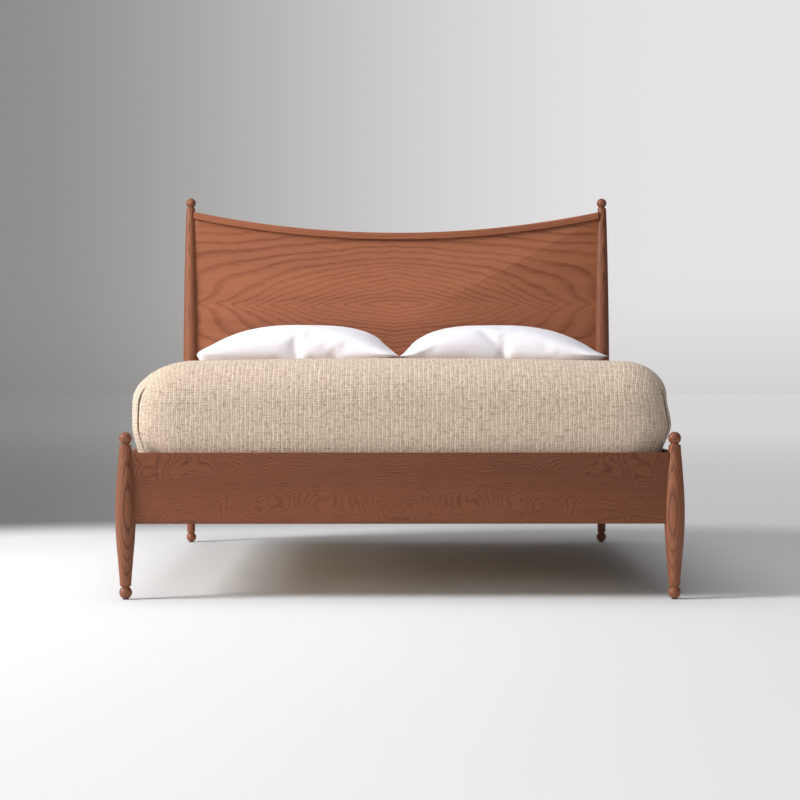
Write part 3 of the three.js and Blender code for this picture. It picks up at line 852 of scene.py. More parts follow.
def make_steel(material):
    for end, side in CORNERS:
        for level in BOLT_LEVELS:
            node = f"bracket_bolt_{end}_{side}_{level}"
            bolt = new_piece(node + "_threaded", bolt_bmesh(node, ENDS[end]), smooth_angle=25.0)
            stand_for(node, bolt, material)
        dress_cad_steel(f"corner_bracket_{end}_{side}", material)
    for end in ENDS:
        dress_cad_steel(f"beam_hanger_{end}", material)


def dress_cad_steel(node, material):
    """Keeps a bent steel CAD part, with its sharp edges broken."""
    part = frame["nodes"][node]
    part.data.materials.clear()
    part.data.materials.append(material)
    weld = part.modifiers.new("weld", "WELD")
    weld.merge_threshold = 0.01 * MM
    break_edges = part.modifiers.new("break_edges", "BEVEL")
    break_edges.width = 0.5 * MM
    break_edges.segments = 2
    break_edges.limit_method = "ANGLE"
    break_edges.angle_limit = math.radians(35)


# ------------------------------------------------------------------ webbing tapes


def strip_bmesh(points_for, widths, stations):
    """A closed strip from a function (station, place across) -> (top point, bottom point)."""
    solid = bmesh.new()
    top, bottom = [], []
    for station in stations:
        pairs = [points_for(station, width) for width in widths]
        top.append([solid.verts.new(pair[0]) for pair in pairs])
        bottom.append([solid.verts.new(pair[1]) for pair in pairs])
    last = len(widths) - 1
    for i in range(len(stations) - 1):
        for k in range(last):
            solid.faces.new([top[i][k], top[i][k + 1], top[i + 1][k + 1], top[i + 1][k]])
            solid.faces.new([bottom[i][k], bottom[i + 1][k], bottom[i + 1][k + 1], bottom[i][k + 1]])
        for k in (0, last):
            solid.faces.new([top[i][k], top[i + 1][k], bottom[i + 1][k], bottom[i][k]])
    for i in (0, len(stations) - 1):
        for k in range(last):
            solid.faces.new([top[i][k], bottom[i][k], bottom[i][k + 1], top[i][k + 1]])
    return solid


TAPE_SAG = 1.5 * MM  # between two slats
TAPE_STATIONS = 406


def make_tapes(material):
    """Webbing that lies on every slat and hangs a little between two of them."""
    first_slat, second_slat = [sum(corner.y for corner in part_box(slat)) / 2 for slat in SLATS[:2]]
    pitch = second_slat - first_slat
    for side in SIDES:
        node = f"slat_tape_{side}"
        low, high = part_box(node)
        stations = np.linspace(low.y, high.y, TAPE_STATIONS)

        def points_for(station, across):
            phase = math.cos(2 * math.pi * (station - first_slat) / pitch)
            hang = TAPE_SAG * max(0.0, 0.5 - phase) / 1.5
            x = low.x + (high.x - low.x) * across
            return (x, station, high.z - hang), (x, station, low.z - hang)

        strip = strip_bmesh(points_for, [0.0, 0.25, 0.5, 0.75, 1.0], stations)
        tape = new_piece(node + "_webbing", strip)
        add_flat_map(tape, lambda co: (co.x, co.y))
        stand_for(node, tape, material)


def add_flat_map(piece, flat_of):
    """Stores where each point lies on the uncut cloth, in metres, for its weave."""
    layer = piece.data.uv_layers.new(name="flat")
    for loop in piece.data.loops:
        layer.data[loop.index].uv = flat_of(piece.data.vertices[loop.vertex_index].co)


# ------------------------------------------------------------------ mattress

MATTRESS_CORNER = 165 * MM
MATTRESS_TOP_EDGE = (150 * MM, 112 * MM)  # across and down the rounding of its top edge
MATTRESS_BOTTOM_EDGE = (50 * MM, 50 * MM)
CROWN_FALL = 7 * MM  # how far the top has fallen away at the distance below from the middle
CROWN_REACH = 600 * MM
CROWN_END = 704 * MM  # beyond this it falls no further
QUILT_PITCH, QUILT_DEPTH = 160 * MM, 2.5 * MM
PIPING_RADIUS, PIPING_DROP = 2.6 * MM, 4 * MM
MATTRESS_STEP = 20 * MM  # of its mesh


def rounded_box_point(spot, low, high, corner, edge):
    """Moves a point of a box onto a box with round corners in plan and round upper or lower edges.

    `edge` is the width and height of the rounding of the edge nearest to the point.
    """
    middle = (low + high) / 2
    half = (high - low) / 2
    plan = Vector((spot.x - middle.x, spot.y - middle.y))
    core = Vector((min(max(plan[i], corner - half[i]), half[i] - corner) for i in range(2)))
    away = plan - core
    inset = 0.0
    on_flat = abs(abs(spot.z - middle.z) - half.z) < 1e-6
    rim = max(abs(away.x), abs(away.y))
    if on_flat:
        inset = corner - rim
    if away.length > 1e-9:
        away = away.normalized() * rim
    height = spot.z
    upward = 1 if spot.z > middle.z else -1
    past = max(0.0, 1 - inset / edge[0])
    if on_flat:
        height = middle.z + upward * (half.z - edge[1] * (1 - math.sqrt(max(0.0, 1 - past**2))))
    else:
        height = middle.z + (spot.z - middle.z) * (half.z - edge[1]) / half.z
    return Vector((middle.x + core.x + away.x, middle.y + core.y + away.y, height))


def grid_box_bmesh(low, high, step):
    """A box whose faces are grids of about the given step."""
    solid = bmesh.new()
    size = high - low
    counts = [max(2, round(size[i] / step)) for i in range(3)]

    def face(fixed, at_high):
        u, v = [i for i in range(3) if i != fixed]
        rows = []
        for a in range(counts[u] + 1):
            row = []
            for b in range(counts[v] + 1):
                spot = [0.0, 0.0, 0.0]
                spot[fixed] = high[fixed] if at_high else low[fixed]
                spot[u] = low[u] + size[u] * a / counts[u]
                spot[v] = low[v] + size[v] * b / counts[v]
                row.append(solid.verts.new(spot))
            rows.append(row)
        for a in range(counts[u]):
            for b in range(counts[v]):
                solid.faces.new([rows[a][b], rows[a + 1][b], rows[a + 1][b + 1], rows[a][b + 1]])

    for fixed in range(3):
        face(fixed, False)
        face(fixed, True)
    bmesh.ops.remove_doubles(solid, verts=solid.verts, dist=1e-6)
    return solid


def quilting(x, y):
    """Depth of the mattress's quilted channels: 0 on a pad and 1 in a channel."""
    first = abs(((x + y) / QUILT_PITCH) % 1.0 - 0.5) * 2
    second = abs(((x - y) / QUILT_PITCH) % 1.0 - 0.5) * 2
    channel = max(first, second)
    return max(0.0, (channel - 0.8) / 0.2) ** 2


def plan_loop(low, high, corner, steps=10):
    """A rounded rectangle in plan, as (x, y) pairs."""
    points = []
    for k, (sx, sy) in enumerate([(1, -1), (1, 1), (-1, 1), (-1, -1)]):
        middle_x = (high.x - corner) if sx > 0 else (low.x + corner)
        middle_y = (high.y - corner) if sy > 0 else (low.y + corner)
        for i in range(steps + 1):
            angle = math.radians(-90 + 90 * k + 90 * i / steps)
            points.append((middle_x + corner * math.cos(angle), middle_y + corner * math.sin(angle)))
    return points


def cord_loop(name, loop, height, radius, sides=10):
    """A sewn cord round a rounded rectangle."""
    solid = bmesh.new()
    count = len(loop)
    rings = []
    for i, (x, y) in enumerate(loop):
        before, after = Vector(loop[i - 1]), Vector(loop[(i + 1) % count])
        along = (after - before).normalized()
        outward = Vector((along.y, -along.x))
        ring = []
        for k in range(sides):
            angle = 2 * math.pi * k / sides
            away = outward * radius * math.cos(angle)
            ring.append(solid.verts.new((x + away.x, y + away.y, height + radius * math.sin(angle))))
        rings.append(ring)
    skin(solid, rings + rings[:1], closed=True)
    return new_piece(name, solid)


def crown_fall(x):
    """How far the top of the mattress and of the coverlet falls away towards the sides."""
    return CROWN_FALL * (min(abs(x), CROWN_END) / CROWN_REACH) ** 2


def make_mattress(material):
    low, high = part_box("mattress")
    middle_height = (low.z + high.z) / 2
    solid = grid_box_bmesh(low, high, MATTRESS_STEP)
    for vertex in solid.verts:
        upper = vertex.co.z > middle_height
        flat_face = abs(vertex.co.z - (high.z if upper else low.z)) < 1e-6
        edge = MATTRESS_TOP_EDGE if upper else MATTRESS_BOTTOM_EDGE
        vertex.co = rounded_box_point(vertex.co, low, high, MATTRESS_CORNER, edge)
        if flat_face:
            vertex.co.z += (-1 if upper else 1) * QUILT_DEPTH * quilting(vertex.co.x, vertex.co.y)
        crowned = smooth_share(vertex.co.z, middle_height, high.z)
        vertex.co.z -= crowned * crown_fall(vertex.co.x)
    body = new_piece("mattress_quilted", solid)
    stand_for("mattress", body, material)
    loop = plan_loop(low, high, MATTRESS_CORNER)
    top_piping = high.z - MATTRESS_TOP_EDGE[1] - PIPING_DROP
    heights = {"bottom": low.z + MATTRESS_BOTTOM_EDGE[1], "top": top_piping}
    for name, height in heights.items():
        piping = cord_loop(f"mattress_piping_{name}", loop, height, PIPING_RADIUS)
        piping.data.materials.append(material)
        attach(piping, frame["nodes"]["mattress"]["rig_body"])


# ------------------------------------------------------------------ coverlet

COVERLET_INSET = 185 * MM  # from the drops to the nearly flat middle of the top
OUTLINE_SQUARENESS = 3.6  # 2 is a round corner in plan; more is squarer
SHOULDERS = {  # how far the top rounds over before each drop: across it, and down it
    "left": (172 * MM, 122 * MM),
    "right": (118 * MM, 102 * MM),
    "foot": (150 * MM, 126 * MM),
}
COVERLET_HANG = 430 * MM  # the height at which the drops turn in to be tucked
TUCK_REACH = 85 * MM  # height over which they turn in
SIDE_TUCK = 9.7 * MM
SIDE_BULGE = {"left": 1 * MM, "right": 13 * MM}  # how far each side drop swells out
FOOT_TUCK = 5.7 * MM
CREASE = {  # angle of each foot corner's fold round the corner, from the side, and its bow
    -1: {"angle": 51.0, "bow": 8.0},
    1: {"angle": 42.0, "bow": 10.0},
}
CREASE_TOP = 618 * MM
FOLD_WIDTH = 34 * MM  # how far the fold goes back under itself
LAYER = 6 * MM  # from one layer of the fold to the next
GROOVE = 24 * MM  # depth of the groove beside the fold
GROOVE_WIDTH = 5 * MM
GROOVE_START = 0.93  # share of the way from the side drop to the fold
HEAD_ROUNDING = 50 * MM  # of the mattress's edge, over which the head end droops
SHOULDER_DROP = 105 * MM  # from the top down to where the drops count as upright
CORNER_PULL, FOLD_PULL = 5 * MM, 6 * MM  # how far the corners and the folds draw in low down
PULL_FADES_AT = 500 * MM
COVERLET_STEPS = {"across": 4.6 * MM, "along": 9 * MM, "down": 5.4 * MM}
CORNER_STEPS = [("side", 22), ("under", 4), ("return", 4), ("foot", 22)]
CRINKLES = [  # wavelength across and along the cloth, noise seed, height
    (17 * MM, 26 * MM, 2, 0.6 * MM),
    (30 * MM, 20 * MM, 3, 0.36 * MM),
    (70 * MM, 120 * MM, 4, 1.0 * MM),
    (260 * MM, 340 * MM, 5, 1.6 * MM),
]
CRINKLES_HELD = 0.12  # the share of their height left where the cloth is tucked in
CRINKLES_FREE = (405 * MM, 450 * MM)  # heights from which they start, and are full
PILLOW_PRESS = 2.5 * MM
PILLOW_FOOTPRINT = (0.55, 1.05)  # shares of the pillow's half size over which its press fades


def smooth_share(value, low, high):
    share = min(1.0, max(0.0, (value - low) / (high - low)))
    return share * share * (3 - 2 * share)


def lattice_noise(u, v, along_u, along_v, seed):
    """Smooth noise from -1 to 1 over the flat cloth, with a wavelength each way."""
    return noise.noise(Vector((u / along_u, v / along_v, 7.3 * seed)))


def outline_lengths(squareness, size, steps=400):
    """Angles from a side drop round to the foot drop, and the length of the outline so far."""
    angles = np.linspace(0.0, 0.5 * math.pi, steps + 1)
    power = 2 / squareness
    x, y = size * np.cos(angles) ** power, size * np.sin(angles) ** power
    lengths = np.concatenate([[0.0], np.cumsum(np.hypot(np.diff(x), np.diff(y)))])
    return angles, lengths


class Coverlet:
    """The coverlet's shape: a top, a foot drop and two side drops, with a fold at each corner.

    A place on it is a station along its path round the bed and a distance `down` from the
    square inner part of the top, over the rounded edge and down the drop.
    """

    def __init__(self):
        low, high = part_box("coverlet")
        self.half, self.foot, self.head = high.x, low.y, high.y
        self.top, self.bottom = high.z, low.z
        self.inner_x = self.half - COVERLET_INSET
        self.inner_y = self.foot + COVERLET_INSET
        self.shoulder = self.top - SHOULDER_DROP
        self.bend = COVERLET_INSET + 0.45 * (self.top - self.shoulder)
        self.length_down = self.bend + self.shoulder - self.bottom
        self.angles, self.lengths = outline_lengths(OUTLINE_SQUARENESS, COVERLET_INSET)

    def shoulder_size(self, sign, facing_side):
        """Width and height of the rounded shoulder, which changes round a corner."""
        side = SHOULDERS["left" if sign < 0 else "right"]
        return [s * facing_side + f * (1 - facing_side) for s, f in zip(side, SHOULDERS["foot"])]

    def section(self, down, inner_x, facing_side):
        """(inset from the outer outline, height) at a distance down from the inner part."""
        width, height = self.shoulder_size(inner_x, facing_side)
        turn = min(1.0, down / self.bend)
        inset = COVERLET_INSET * (1 - math.sin(0.5 * math.pi * turn**1.08))
        true_x = abs(inner_x) + (COVERLET_INSET - inset) * facing_side
        drop_top = self.top - crown_fall(true_x) - height
        if down < self.bend:
            past = max(0.0, 1 - inset / width)
            return inset, drop_top + height * math.sqrt(max(0.0, 1 - past**2))
        share = (down - self.bend) / (self.length_down - self.bend)
        level = drop_top + (self.bottom - drop_top) * share
        tuck = SIDE_TUCK * facing_side + FOOT_TUCK * (1 - facing_side)
        tuck_low, tuck_high = COVERLET_HANG - 0.3 * TUCK_REACH, COVERLET_HANG + 0.7 * TUCK_REACH
        turned_in = 1 - smooth_share(level, tuck_low, tuck_high)
        bulge = SIDE_BULGE["left" if inner_x < 0 else "right"] * facing_side
        bulge *= smooth_share(share, 0.0, 0.45) * (1 - turned_in)
        return tuck * turned_in - bulge, level

    def droop(self, y, down):
        """How far the head end sinks over the mattress's rounded edge."""
        past = y - (self.head + 4 * MM - HEAD_ROUNDING)
        if past <= 0:
            return 0.0
        sink = HEAD_ROUNDING - math.sqrt(max(0.0, HEAD_ROUNDING**2 - past**2))
        return 0.8 * sink * (1 - smooth_share(down, 0.0, self.bend))

    def top_point(self, x, y):
        flat = (x, y)
        return Vector((x, y, self.top - crown_fall(x) - self.droop(y, 0.0))), flat

    def side_point(self, sign, y, down):
        inset, height = self.section(down, sign * self.inner_x, 1.0)
        spot = Vector((sign * (self.half - inset), y, height - self.droop(y, down)))
        return spot, (sign * (self.inner_x + down), y)

    def foot_point(self, x, down):
        inset, height = self.section(down, x, 0.0)
        return Vector((x, self.foot + inset, height)), (x, self.inner_y - down)

    def crease_share(self, height):
        return 1 - smooth_share(height, CREASE_TOP - 55 * MM, CREASE_TOP)

    def crease_angle(self, sign, height):
        share = min(1.0, max(0.0, (CREASE_TOP - height) / (CREASE_TOP - self.bottom)))
        return math.radians(CREASE[sign]["angle"] - CREASE[sign]["bow"] * math.sin(math.pi * share))

    def corner_point(self, sign, leg, share, down):
        """A point round a corner: `leg` is one of the path's stretches in CORNER_STEPS.

        "side" comes from the side drop to the fold, "under" goes on beneath the fold, "return"
        comes back over it one layer further in, and "foot" goes on to the foot drop. `share` runs
        along the leg.
        """
        _, height = self.section(down, sign * self.inner_x, 0.5)
        folded = self.crease_share(height)
        crease = self.crease_angle(sign, height)
        creased_at = np.interp(crease, self.angles, self.lengths)
        back = folded * FOLD_WIDTH + 0.4 * MM
        around, depth = {
            "side": (share * creased_at, 0.0),
            "under": (creased_at + share * back, 0.0),
            "return": (creased_at + (1 - share) * back, LAYER),
            "foot": (creased_at + share * (self.lengths[-1] - creased_at), 0.0),
        }[leg]
        angle = float(np.interp(around, self.lengths, self.angles))
        facing_side = math.cos(angle) ** 2
        inset, height = self.section(down, sign * self.inner_x, facing_side)
        low_down = 1 - smooth_share(height, self.bottom, PULL_FADES_AT)
        pulled_in = CORNER_PULL * low_down * math.sin(2 * angle) ** 2
        if leg == "side":
            low_down = 1 - smooth_share(height, self.bottom, PULL_FADES_AT + 5 * MM)
            pulled_in += FOLD_PULL * low_down * smooth_share(share, 0.0, 0.5)
        radius = max(0.0, COVERLET_INSET - inset - folded * depth - pulled_in)
        squareness = 2 + (OUTLINE_SQUARENESS - 2) * (1 - inset / COVERLET_INSET)
        across = max(0.0, math.cos(angle)) ** (2 / squareness)
        along = max(0.0, math.sin(angle)) ** (2 / squareness)
        spot = Vector((sign * (self.inner_x + radius * across), self.inner_y - radius * along, height))
        if leg in ("side", "under"):
            nearing = leg == "side"
            sunk = smooth_share(share, GROOVE_START, 1.0) if nearing else 1.0
            layered = smooth_share(share, 0.2, GROOVE_START) if nearing else 1.0
            spot.y += folded * (LAYER * layered + GROOVE * sunk**1.5)
            spot.x += sign * folded * GROOVE_WIDTH * sunk * (1 if nearing else 1 - share)
        return spot, self.corner_flat(sign, leg, around, (across, along), down)

    def corner_flat(self, sign, leg, around, direction, down):
        """Where a corner point lies on the flat cloth: fanned out above, and straight on a drop."""
        fan = (self.inner_x + down * direction[0], self.inner_y - down * direction[1])
        if leg in ("foot", "return"):
            drop = (self.inner_x + self.lengths[-1] - around, self.inner_y - down)
        else:
            drop = (self.inner_x + down, self.inner_y - around)
        share = smooth_share(down, 0.6 * self.bend, 1.1 * self.bend)
        flat = [f * (1 - share) + d * share for f, d in zip(fan, drop)]
        return sign * flat[0], flat[1]


def even_steps(start, end, step):
    return np.linspace(start, end, max(2, round(abs(end - start) / step)) + 1)


def coverlet_path(shape):
    """Functions of `down` that give the coverlet's point at each station, from head to head."""
    ys = even_steps(shape.head, shape.inner_y, COVERLET_STEPS["along"])
    xs = even_steps(-shape.inner_x, shape.inner_x, COVERLET_STEPS["across"])

    def corner(sign):
        stations = []
        for leg, count in CORNER_STEPS:
            for i in range(1 if leg == "side" else 0, count + 1):
                stations.append(lambda d, leg=leg, s=i / count: shape.corner_point(sign, leg, s, d))
        return stations[:-1]

    path = [lambda d, y=y: shape.side_point(-1, y, d) for y in ys]
    path += corner(-1)
    path += [lambda d, x=x: shape.foot_point(x, d) for x in xs]
    path += corner(1)[::-1]
    path += [lambda d, y=y: shape.side_point(1, y, d) for y in ys[::-1]]
    return path, xs, ys


def pillow_press(x, y, pillow_boxes):
    """How far the pillows press the coverlet's top down, in metres."""
    deepest = 0.0
    for middle, half in pillow_boxes:
        away = max(abs(x - middle.x) / half.x, abs(y - middle.y) / half.y)
        deepest = max(deepest, 1 - smooth_share(away, *PILLOW_FOOTPRINT))
    return PILLOW_PRESS * deepest


def crinkles(flat, height):
    """Height of the gauze's puckers and of its slower rumples over the flat cloth."""
    rumpled = sum(
        size * lattice_noise(flat[0], flat[1], across, along, seed) for across, along, seed, size in CRINKLES
    )
    free = CRINKLES_HELD + (1 - CRINKLES_HELD) * smooth_share(height, *CRINKLES_FREE)
    return free * rumpled


def make_coverlet(material):
    shape = Coverlet()
    path, xs, ys = coverlet_path(shape)
    downs = even_steps(0.0, shape.length_down, COVERLET_STEPS["down"])
    cloth = bmesh.new()
    flats = cloth.verts.layers.float_vector.new("flat")

    def vertex(spot, flat):
        made = cloth.verts.new(spot)
        made[flats] = (flat[0], flat[1], 0.0)
        return made

    skin(cloth, [[vertex(*station(down)) for station in path] for down in downs])
    skin(cloth, [[vertex(*shape.top_point(x, y)) for x in xs] for y in ys])
    bmesh.ops.remove_doubles(cloth, verts=cloth.verts, dist=0.02 * MM)
    bmesh.ops.recalc_face_normals(cloth, faces=cloth.faces)
    if sum(face.normal.z * face.calc_area() for face in cloth.faces) < 0:
        bmesh.ops.reverse_faces(cloth, faces=cloth.faces)
    cloth.normal_update()
    corners = [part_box(node) for node in ("pillow_left", "pillow_right")]
    pillow_boxes = [((low + high) / 2, (high - low) / 2) for low, high in corners]
    for point in cloth.verts:
        normal, spot = point.normal.copy(), point.co.copy()
        lift = crinkles(point[flats], spot.z)
        point.co += normal * lift
        if spot.z > shape.shoulder:
            point.co.z -= pillow_press(spot.x, spot.y, pillow_boxes) * max(0.0, normal.z)
    layer = cloth.loops.layers.uv.new("flat")
    for face in cloth.faces:
        for loop in face.loops:
            loop[layer].uv = loop.vert[flats][:2]
    mesh = bpy.data.meshes.new("coverlet_cloth")
    cloth.to_mesh(mesh)
    cloth.free()
    coverlet = new_piece("coverlet_cloth", mesh, 180.0)
    stand_for("coverlet", coverlet, material)


# ------------------------------------------------------------------ pillows

PILLOW_ROWS, PILLOW_COLUMNS = 44, 66
PILLOW_FLAT = (800 * MM, 545 * MM)  # the case as it is cut, before it is filled
PILLOW_CORNER = 60 * MM
PILLOW_FRAMES = 36
PILLOW_INNER_SHIFT, PILLOW_OUTER_SHIFT = 6 * MM, 15 * MM  # towards the middle of the bed
PILLOW_SLOPE = {"outer": 2.5, "inner": 4.0}  # how late the crest falls towards each end
PILLOW_CLOTH = {
    "quality": 6,
    "mass": 0.2,
    "tension_stiffness": 30,
    "compression_stiffness": 30,
    "shear_stiffness": 12,
    "bending_stiffness": 2.0,
    "use_pressure": True,
    "uniform_pressure_force": 6.0,
}
PILLOW_SWELL = (2.6, 2.4, 0.6)  # fullness across, along and of the whole, before it is filled
CASE_EDGE = 25 * MM  # depth under the seam over which the lower layer turns in to lie flat
SEAM_LAID = 16 * MM  # height of the seam over the coverlet


def pillow_spot(share_x, share_y, size, corner):
    """A point of a flat case with rounded corners, from its place on an even square."""
    half_x, half_y = size[0] / 2, size[1] / 2
    round_x, round_y = corner / half_x, corner / half_y
    past_x = max(0.0, (abs(share_x) - (1 - round_x)) / round_x)
    past_y = max(0.0, (abs(share_y) - (1 - round_y)) / round_y)
    both = math.hypot(past_x, past_y)
    draw = max(past_x, past_y) / both if both > 0 else 1.0
    x = min(abs(share_x), 1 - round_x) + past_x * draw * round_x
    y = min(abs(share_y), 1 - round_y) + past_y * draw * round_y
    return math.copysign(x * half_x, share_x), math.copysign(y * half_y, share_y)


def pillow_bmesh(middle, half, seam_height, high, low):
    """A lens of two sewn layers, with the place of each point on the flat case."""
    solid = bmesh.new()
    flats = solid.verts.layers.float_vector.new("flat")

    def layer(top):
        rows = []
        for i in range(PILLOW_ROWS + 1):
            row = []
            for k in range(PILLOW_COLUMNS + 1):
                sx, sy = 2 * k / PILLOW_COLUMNS - 1, 2 * i / PILLOW_ROWS - 1
                x, y = pillow_spot(sx, sy, (2 * half.x, 2 * half.y), PILLOW_CORNER)
                swell = max(0.0, 1 - abs(sx) ** PILLOW_SWELL[0])
                swell = (swell * max(0.0, 1 - abs(sy) ** PILLOW_SWELL[1])) ** PILLOW_SWELL[2]
                z = seam_height + ((high if top else low) - seam_height) * swell
                vertex = solid.verts.new((middle.x + x, middle.y + y, z))
                flat = pillow_spot(sx, sy, PILLOW_FLAT, PILLOW_CORNER)
                vertex[flats] = (middle.x + flat[0], middle.y + flat[1], seam_height)
                row.append(vertex)
            rows.append(row)
        for i in range(PILLOW_ROWS):
            for k in range(PILLOW_COLUMNS):
                corners = [rows[i][k], rows[i][k + 1], rows[i + 1][k + 1], rows[i + 1][k]]
                solid.faces.new(corners if top else corners[::-1])

    layer(True)
    layer(False)
    bmesh.ops.remove_doubles(solid, verts=solid.verts, dist=0.05 * MM)
    return solid


def fill_case(pillow):
    """Blows the flat-cut case up round its filling by cloth simulation, and keeps the result."""
    spots = np.zeros(3 * len(pillow.data.vertices), np.float32)
    pillow.data.attributes["flat"].data.foreach_get("vector", spots)
    pillow.shape_key_add(name="filled")
    cut = pillow.shape_key_add(name="cut")
    cut.data.foreach_set("co", spots)
    cloth = pillow.modifiers.new("cloth", "CLOTH")
    settings = cloth.settings
    settings.rest_shape_key = cut
    for name, value in PILLOW_CLOTH.items():
        setattr(settings, name, value)
    settings.effector_weights.gravity = 0.0
    cloth.collision_settings.use_collision = False
    scene = bpy.context.scene
    cloth.point_cache.frame_start, cloth.point_cache.frame_end = 1, PILLOW_FRAMES
    for number in range(1, PILLOW_FRAMES + 1):
        scene.frame_set(number)
    apply_modifiers(pillow)
    scene.frame_set(1)
    ease = pillow.modifiers.new("ease", "SMOOTH")
    ease.factor, ease.iterations = 0.5, 5
    apply_modifiers(pillow)


def crest_share(outward):
    """Height of the filled pillow along its width: 1 in the middle and 0 at its pointed corners."""
    steepness = np.where(outward > 0, PILLOW_SLOPE["outer"], PILLOW_SLOPE["inner"])
    return 1 - np.clip(np.abs(outward), 0, 1) ** steepness


def settle(pillow, low, high):
    """Lays the filled case down, with its seam near the coverlet and its crest at the CAD's top."""
    points = np.array([vertex.co for vertex in pillow.data.vertices])
    middle, size = np.array((low + high) / 2), np.array(high - low)
    spread = points.max(0) - points.min(0)
    centre = (points.max(0) + points.min(0)) / 2
    outward = np.sign(middle[0]) * (points[:, 0] - centre[0]) / (spread[0] / 2)
    stations = np.linspace(-1, 1, 41)
    near = np.abs(outward[:, None] - stations[None, :]) < 0.05
    rise = points[:, 2] - low.z - SEAM_LAID
    crest = np.array([rise[column].max() for column in near.T])
    wanted = crest_share(stations) * (size[2] - SEAM_LAID)
    scale = np.interp(outward, stations, wanted / np.maximum(crest, 4 * MM))
    upper = SEAM_LAID + rise * scale
    lower = SEAM_LAID * np.clip(1 + rise / CASE_EDGE, 0.0, 1.0)
    points[:, 2] = low.z + np.where(rise > 0, upper, lower)
    points[:, :2] = middle[:2] + (points[:, :2] - centre[:2]) * (size / spread)[:2]
    shift = np.interp(outward, [-1, 1], [PILLOW_INNER_SHIFT, PILLOW_OUTER_SHIFT])
    points[:, 0] -= np.sign(middle[0]) * shift
    points[:, 2] = np.clip(points[:, 2], low.z, high.z)
    pillow.data.vertices.foreach_set("co", points.astype(np.float32).ravel())
    smooth = pillow.modifiers.new("smooth", "SUBSURF")
    smooth.levels = smooth.render_levels = 1
    apply_modifiers(pillow)
    pillow.data.polygons.foreach_set("use_smooth", [True] * len(pillow.data.polygons))


def make_pillow(node, material):
    low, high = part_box(node)
    middle, half = (low + high) / 2, (high - low) / 2
    solid = pillow_bmesh(middle, half, low.z + SEAM_LAID, high.z, low.z)
    pillow = new_piece(node + "_case", solid, 180.0)
    fill_case(pillow)
    settle(pillow, low, high)
    stand_for(node, pillow, material)


# ------------------------------------------------------------------ floor, lights and camera

FLOOR_REACH = 60.0
FLOOR_POOL = {"middle": (0.0, -2.2, 0.0), "clear": 3.7, "faded": 4.7}  # the lit part of the floor
FLOOR_PAINTED_GLOW = (4.0, 22.0, 0.78, 1.0)  # from and to a distance, the strength of the glow that paints the floor beyond the lit pool in the backdrop's tone: dimmer nearer the bed, as painted shade
STUDIO_FRONT = (0.0, -7.2, 0.0)  # where the backdrop's shading is laid out from
# painted light and shade of the backdrop: a darker left, a lighter right, and painted shade low down
BACKDROP_LEFT, BACKDROP_RIGHT = srgb(140, 139, 137), srgb(228, 226, 227)
BACKDROP_PAINTED_SHADE = srgb(96, 95, 94)
BACKDROP_TURN = (-0.2, 0.13)  # from the left tone to the right one, as x of the direction
BACKDROP_LOW = (-0.12, 0.05, 0.7, 0.0)  # as z of the direction, and the share of the painted shade low down
FLOOR_COLOUR = srgb(240, 241, 242)
AMBIENT_LEFT, AMBIENT_RIGHT = (0.42, 0.42, 0.43, 1.0), (0.05, 0.05, 0.055, 1.0)
SOFTBOXES = {  # place, what it points at, size, power in watts
    "key_softbox": ((-7.8, -3.3, 4.9), (0.0, 0.0, 0.7), (3.2, 3.2), 900),
    "top_softbox": ((-0.6, -0.2, 4.2), (0.0, 0.0, 0.5), (3.2, 3.2), 62),
    "front_fill": ((0.4, -7.5, 2.6), (0.0, 0.0, 0.6), (3.0, 2.0), 58),
}
CAMERA_PLACE = (-0.043, -7.166, 0.642)
CAMERA_DOWN, CAMERA_TURN = 0.709, -0.395  # degrees below level, and from +Y
CAMERA_LENS, CAMERA_SENSOR = 97.09, 36.0


def backdrop_tone(shader, direction):
    """The studio's backdrop, with painted shade: darker on the left and low down, as seen from the foot of
    the bed.
    """
    x, _, z = shader.split(direction)
    even = shader.mix(shader.spread(x, *BACKDROP_TURN), BACKDROP_LEFT, BACKDROP_RIGHT)
    return shader.mix(shader.spread(z, *BACKDROP_LOW), even, BACKDROP_PAINTED_SHADE)


def make_floor():
    disc = bmesh.new()
    bmesh.ops.create_circle(disc, cap_ends=True, segments=128, radius=FLOOR_REACH)
    mesh = bpy.data.meshes.new("floor")
    disc.to_mesh(mesh)
    disc.free()
    floor = bpy.data.objects.new("floor", mesh)
    bpy.context.scene.collection.objects.link(floor)
    shader = Shader("studio_floor", roughness=0.8)
    shader.colour(FLOOR_COLOUR)
    tree = shader.tree
    place = shader.position()
    offset = {0: place, 1: FLOOR_POOL["middle"]}
    from_pool = shader.node("VectorMath", inputs=offset, operation="SUBTRACT")
    distance = shader.node("VectorMath", output="Value", inputs={0: from_pool}, operation="LENGTH")
    from_front = shader.node("VectorMath", inputs={0: place, 1: STUDIO_FRONT}, operation="SUBTRACT")
    direction = shader.node("VectorMath", inputs={0: from_front}, operation="NORMALIZE")
    # painted light: beyond the lit pool the floor glows in the backdrop's painted tone, dimmer nearer the
    # bed as painted shade
    glow = tree.nodes.new("ShaderNodeEmission")
    shader.feed(glow.inputs["Color"], backdrop_tone(shader, direction))
    shader.feed(glow.inputs["Strength"], shader.spread(distance, *FLOOR_PAINTED_GLOW))
    fade = tree.nodes.new("ShaderNodeMixShader")
    shader.feed(fade.inputs[0], shader.spread(distance, FLOOR_POOL["clear"], FLOOR_POOL["faded"]))
    tree.links.new(shader.surface.outputs[0], fade.inputs[1])
    tree.links.new(glow.outputs[0], fade.inputs[2])
    tree.links.new(fade.outputs[0], tree.nodes["Material Output"].inputs["Surface"])
    floor.data.materials.append(shader.material)


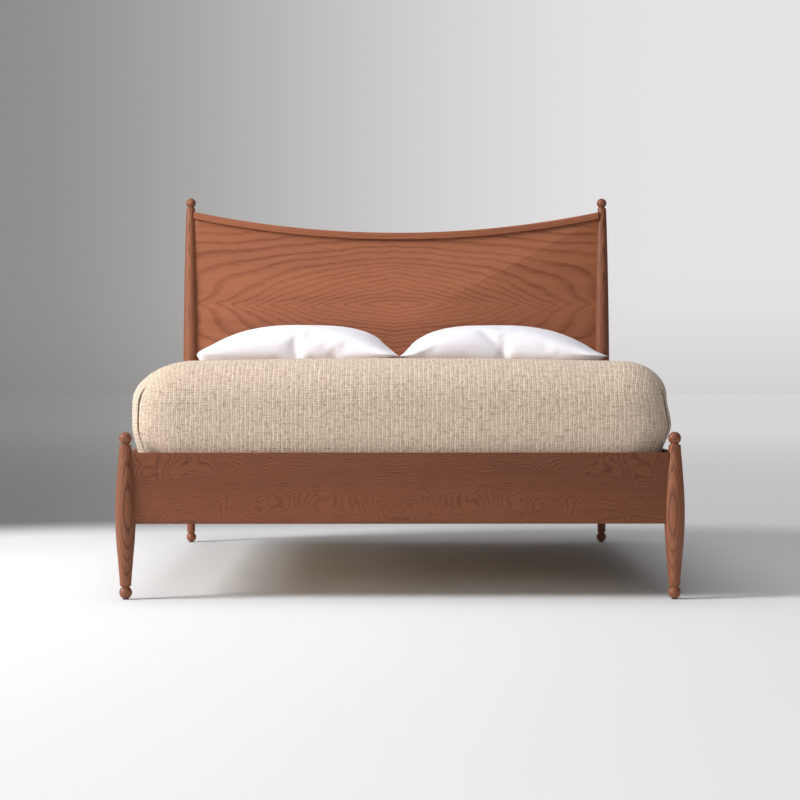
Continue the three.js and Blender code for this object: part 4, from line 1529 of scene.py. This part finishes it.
def make_world():
    """The backdrop with its painted shade as the camera sees it, and a softer light from the left for
    everything else.
    """
    world = bpy.data.worlds.new("studio")
    world.use_nodes = True
    bpy.context.scene.world = world
    tree = world.node_tree
    shader = Shader.__new__(Shader)
    shader.tree = tree
    direction = shader.node("TexCoord", output="Generated")
    backdrop = backdrop_tone(shader, direction)
    rightward = shader.spread(shader.split(direction)[0], -0.8, 0.8)
    ambient = shader.mix(rightward, AMBIENT_LEFT, AMBIENT_RIGHT)
    seen = shader.node("LightPath", output="Is Camera Ray")
    colour = shader.mix(seen, ambient, backdrop)
    tree.links.new(colour, tree.nodes["Background"].inputs["Color"])


def make_lights():
    for name, (place, target, size, power) in SOFTBOXES.items():
        data = bpy.data.lights.new(name, "AREA")
        data.shape = "RECTANGLE"
        data.size, data.size_y = size
        data.energy = power
        lamp = bpy.data.objects.new(name, data)
        lamp.location = place
        facing = (Vector(target) - Vector(place)).to_track_quat("-Z", "Y")
        lamp.rotation_euler = facing.to_euler()
        bpy.context.scene.collection.objects.link(lamp)


def make_camera():
    data = bpy.data.cameras.new("camera")
    data.lens = CAMERA_LENS
    data.sensor_width = CAMERA_SENSOR
    camera = bpy.data.objects.new("camera", data)
    camera.location = CAMERA_PLACE
    camera.rotation_euler = Euler((math.radians(90 - CAMERA_DOWN), 0.0, math.radians(CAMERA_TURN)))
    bpy.context.scene.collection.objects.link(camera)
    bpy.context.scene.camera = camera
    bpy.context.scene.view_settings.view_transform = "Standard"


# ------------------------------------------------------------------ the bed


def make_bed():
    turned = turned_wood()
    make_posts(turned)
    make_balls(turned)
    make_glides(glide_plastic())
    heart = {"y": 0.9, "z": 0.9}
    cap_wood = board_wood("cap_wood", "x", 6 * MM, heart, HEADBOARD_PALE, HEADBOARD_DARK)
    make_headboard(headboard_veneer(), cap_wood)
    heart = {"x": 0.0, "z": 0.33}
    rail_wood = board_wood("rail_wood", "y", 7 * MM, heart, FOOTBOARD_PALE, FOOTBOARD_DARK)
    pale_wood = {
        "x": board_wood("slat_wood", "x", 5 * MM, {"y": 3.0, "z": 0.1}, SLAT_PALE, SLAT_DARK),
        "y": board_wood("ledger_wood", "y", 5 * MM, {"x": 0.1, "z": 0.6}, SLAT_PALE, SLAT_DARK),
    }
    make_boards(footboard_veneer(), rail_wood, pale_wood)
    make_steel(dark_steel())
    make_tapes(webbing_cloth())
    make_mattress(ticking_cloth())
    make_coverlet(crinkled_gauze())
    cotton = pillow_cotton()
    make_pillow("pillow_left", cotton)
    make_pillow("pillow_right", cotton)


make_camera()
make_world()
make_lights()
make_floor()
make_bed()
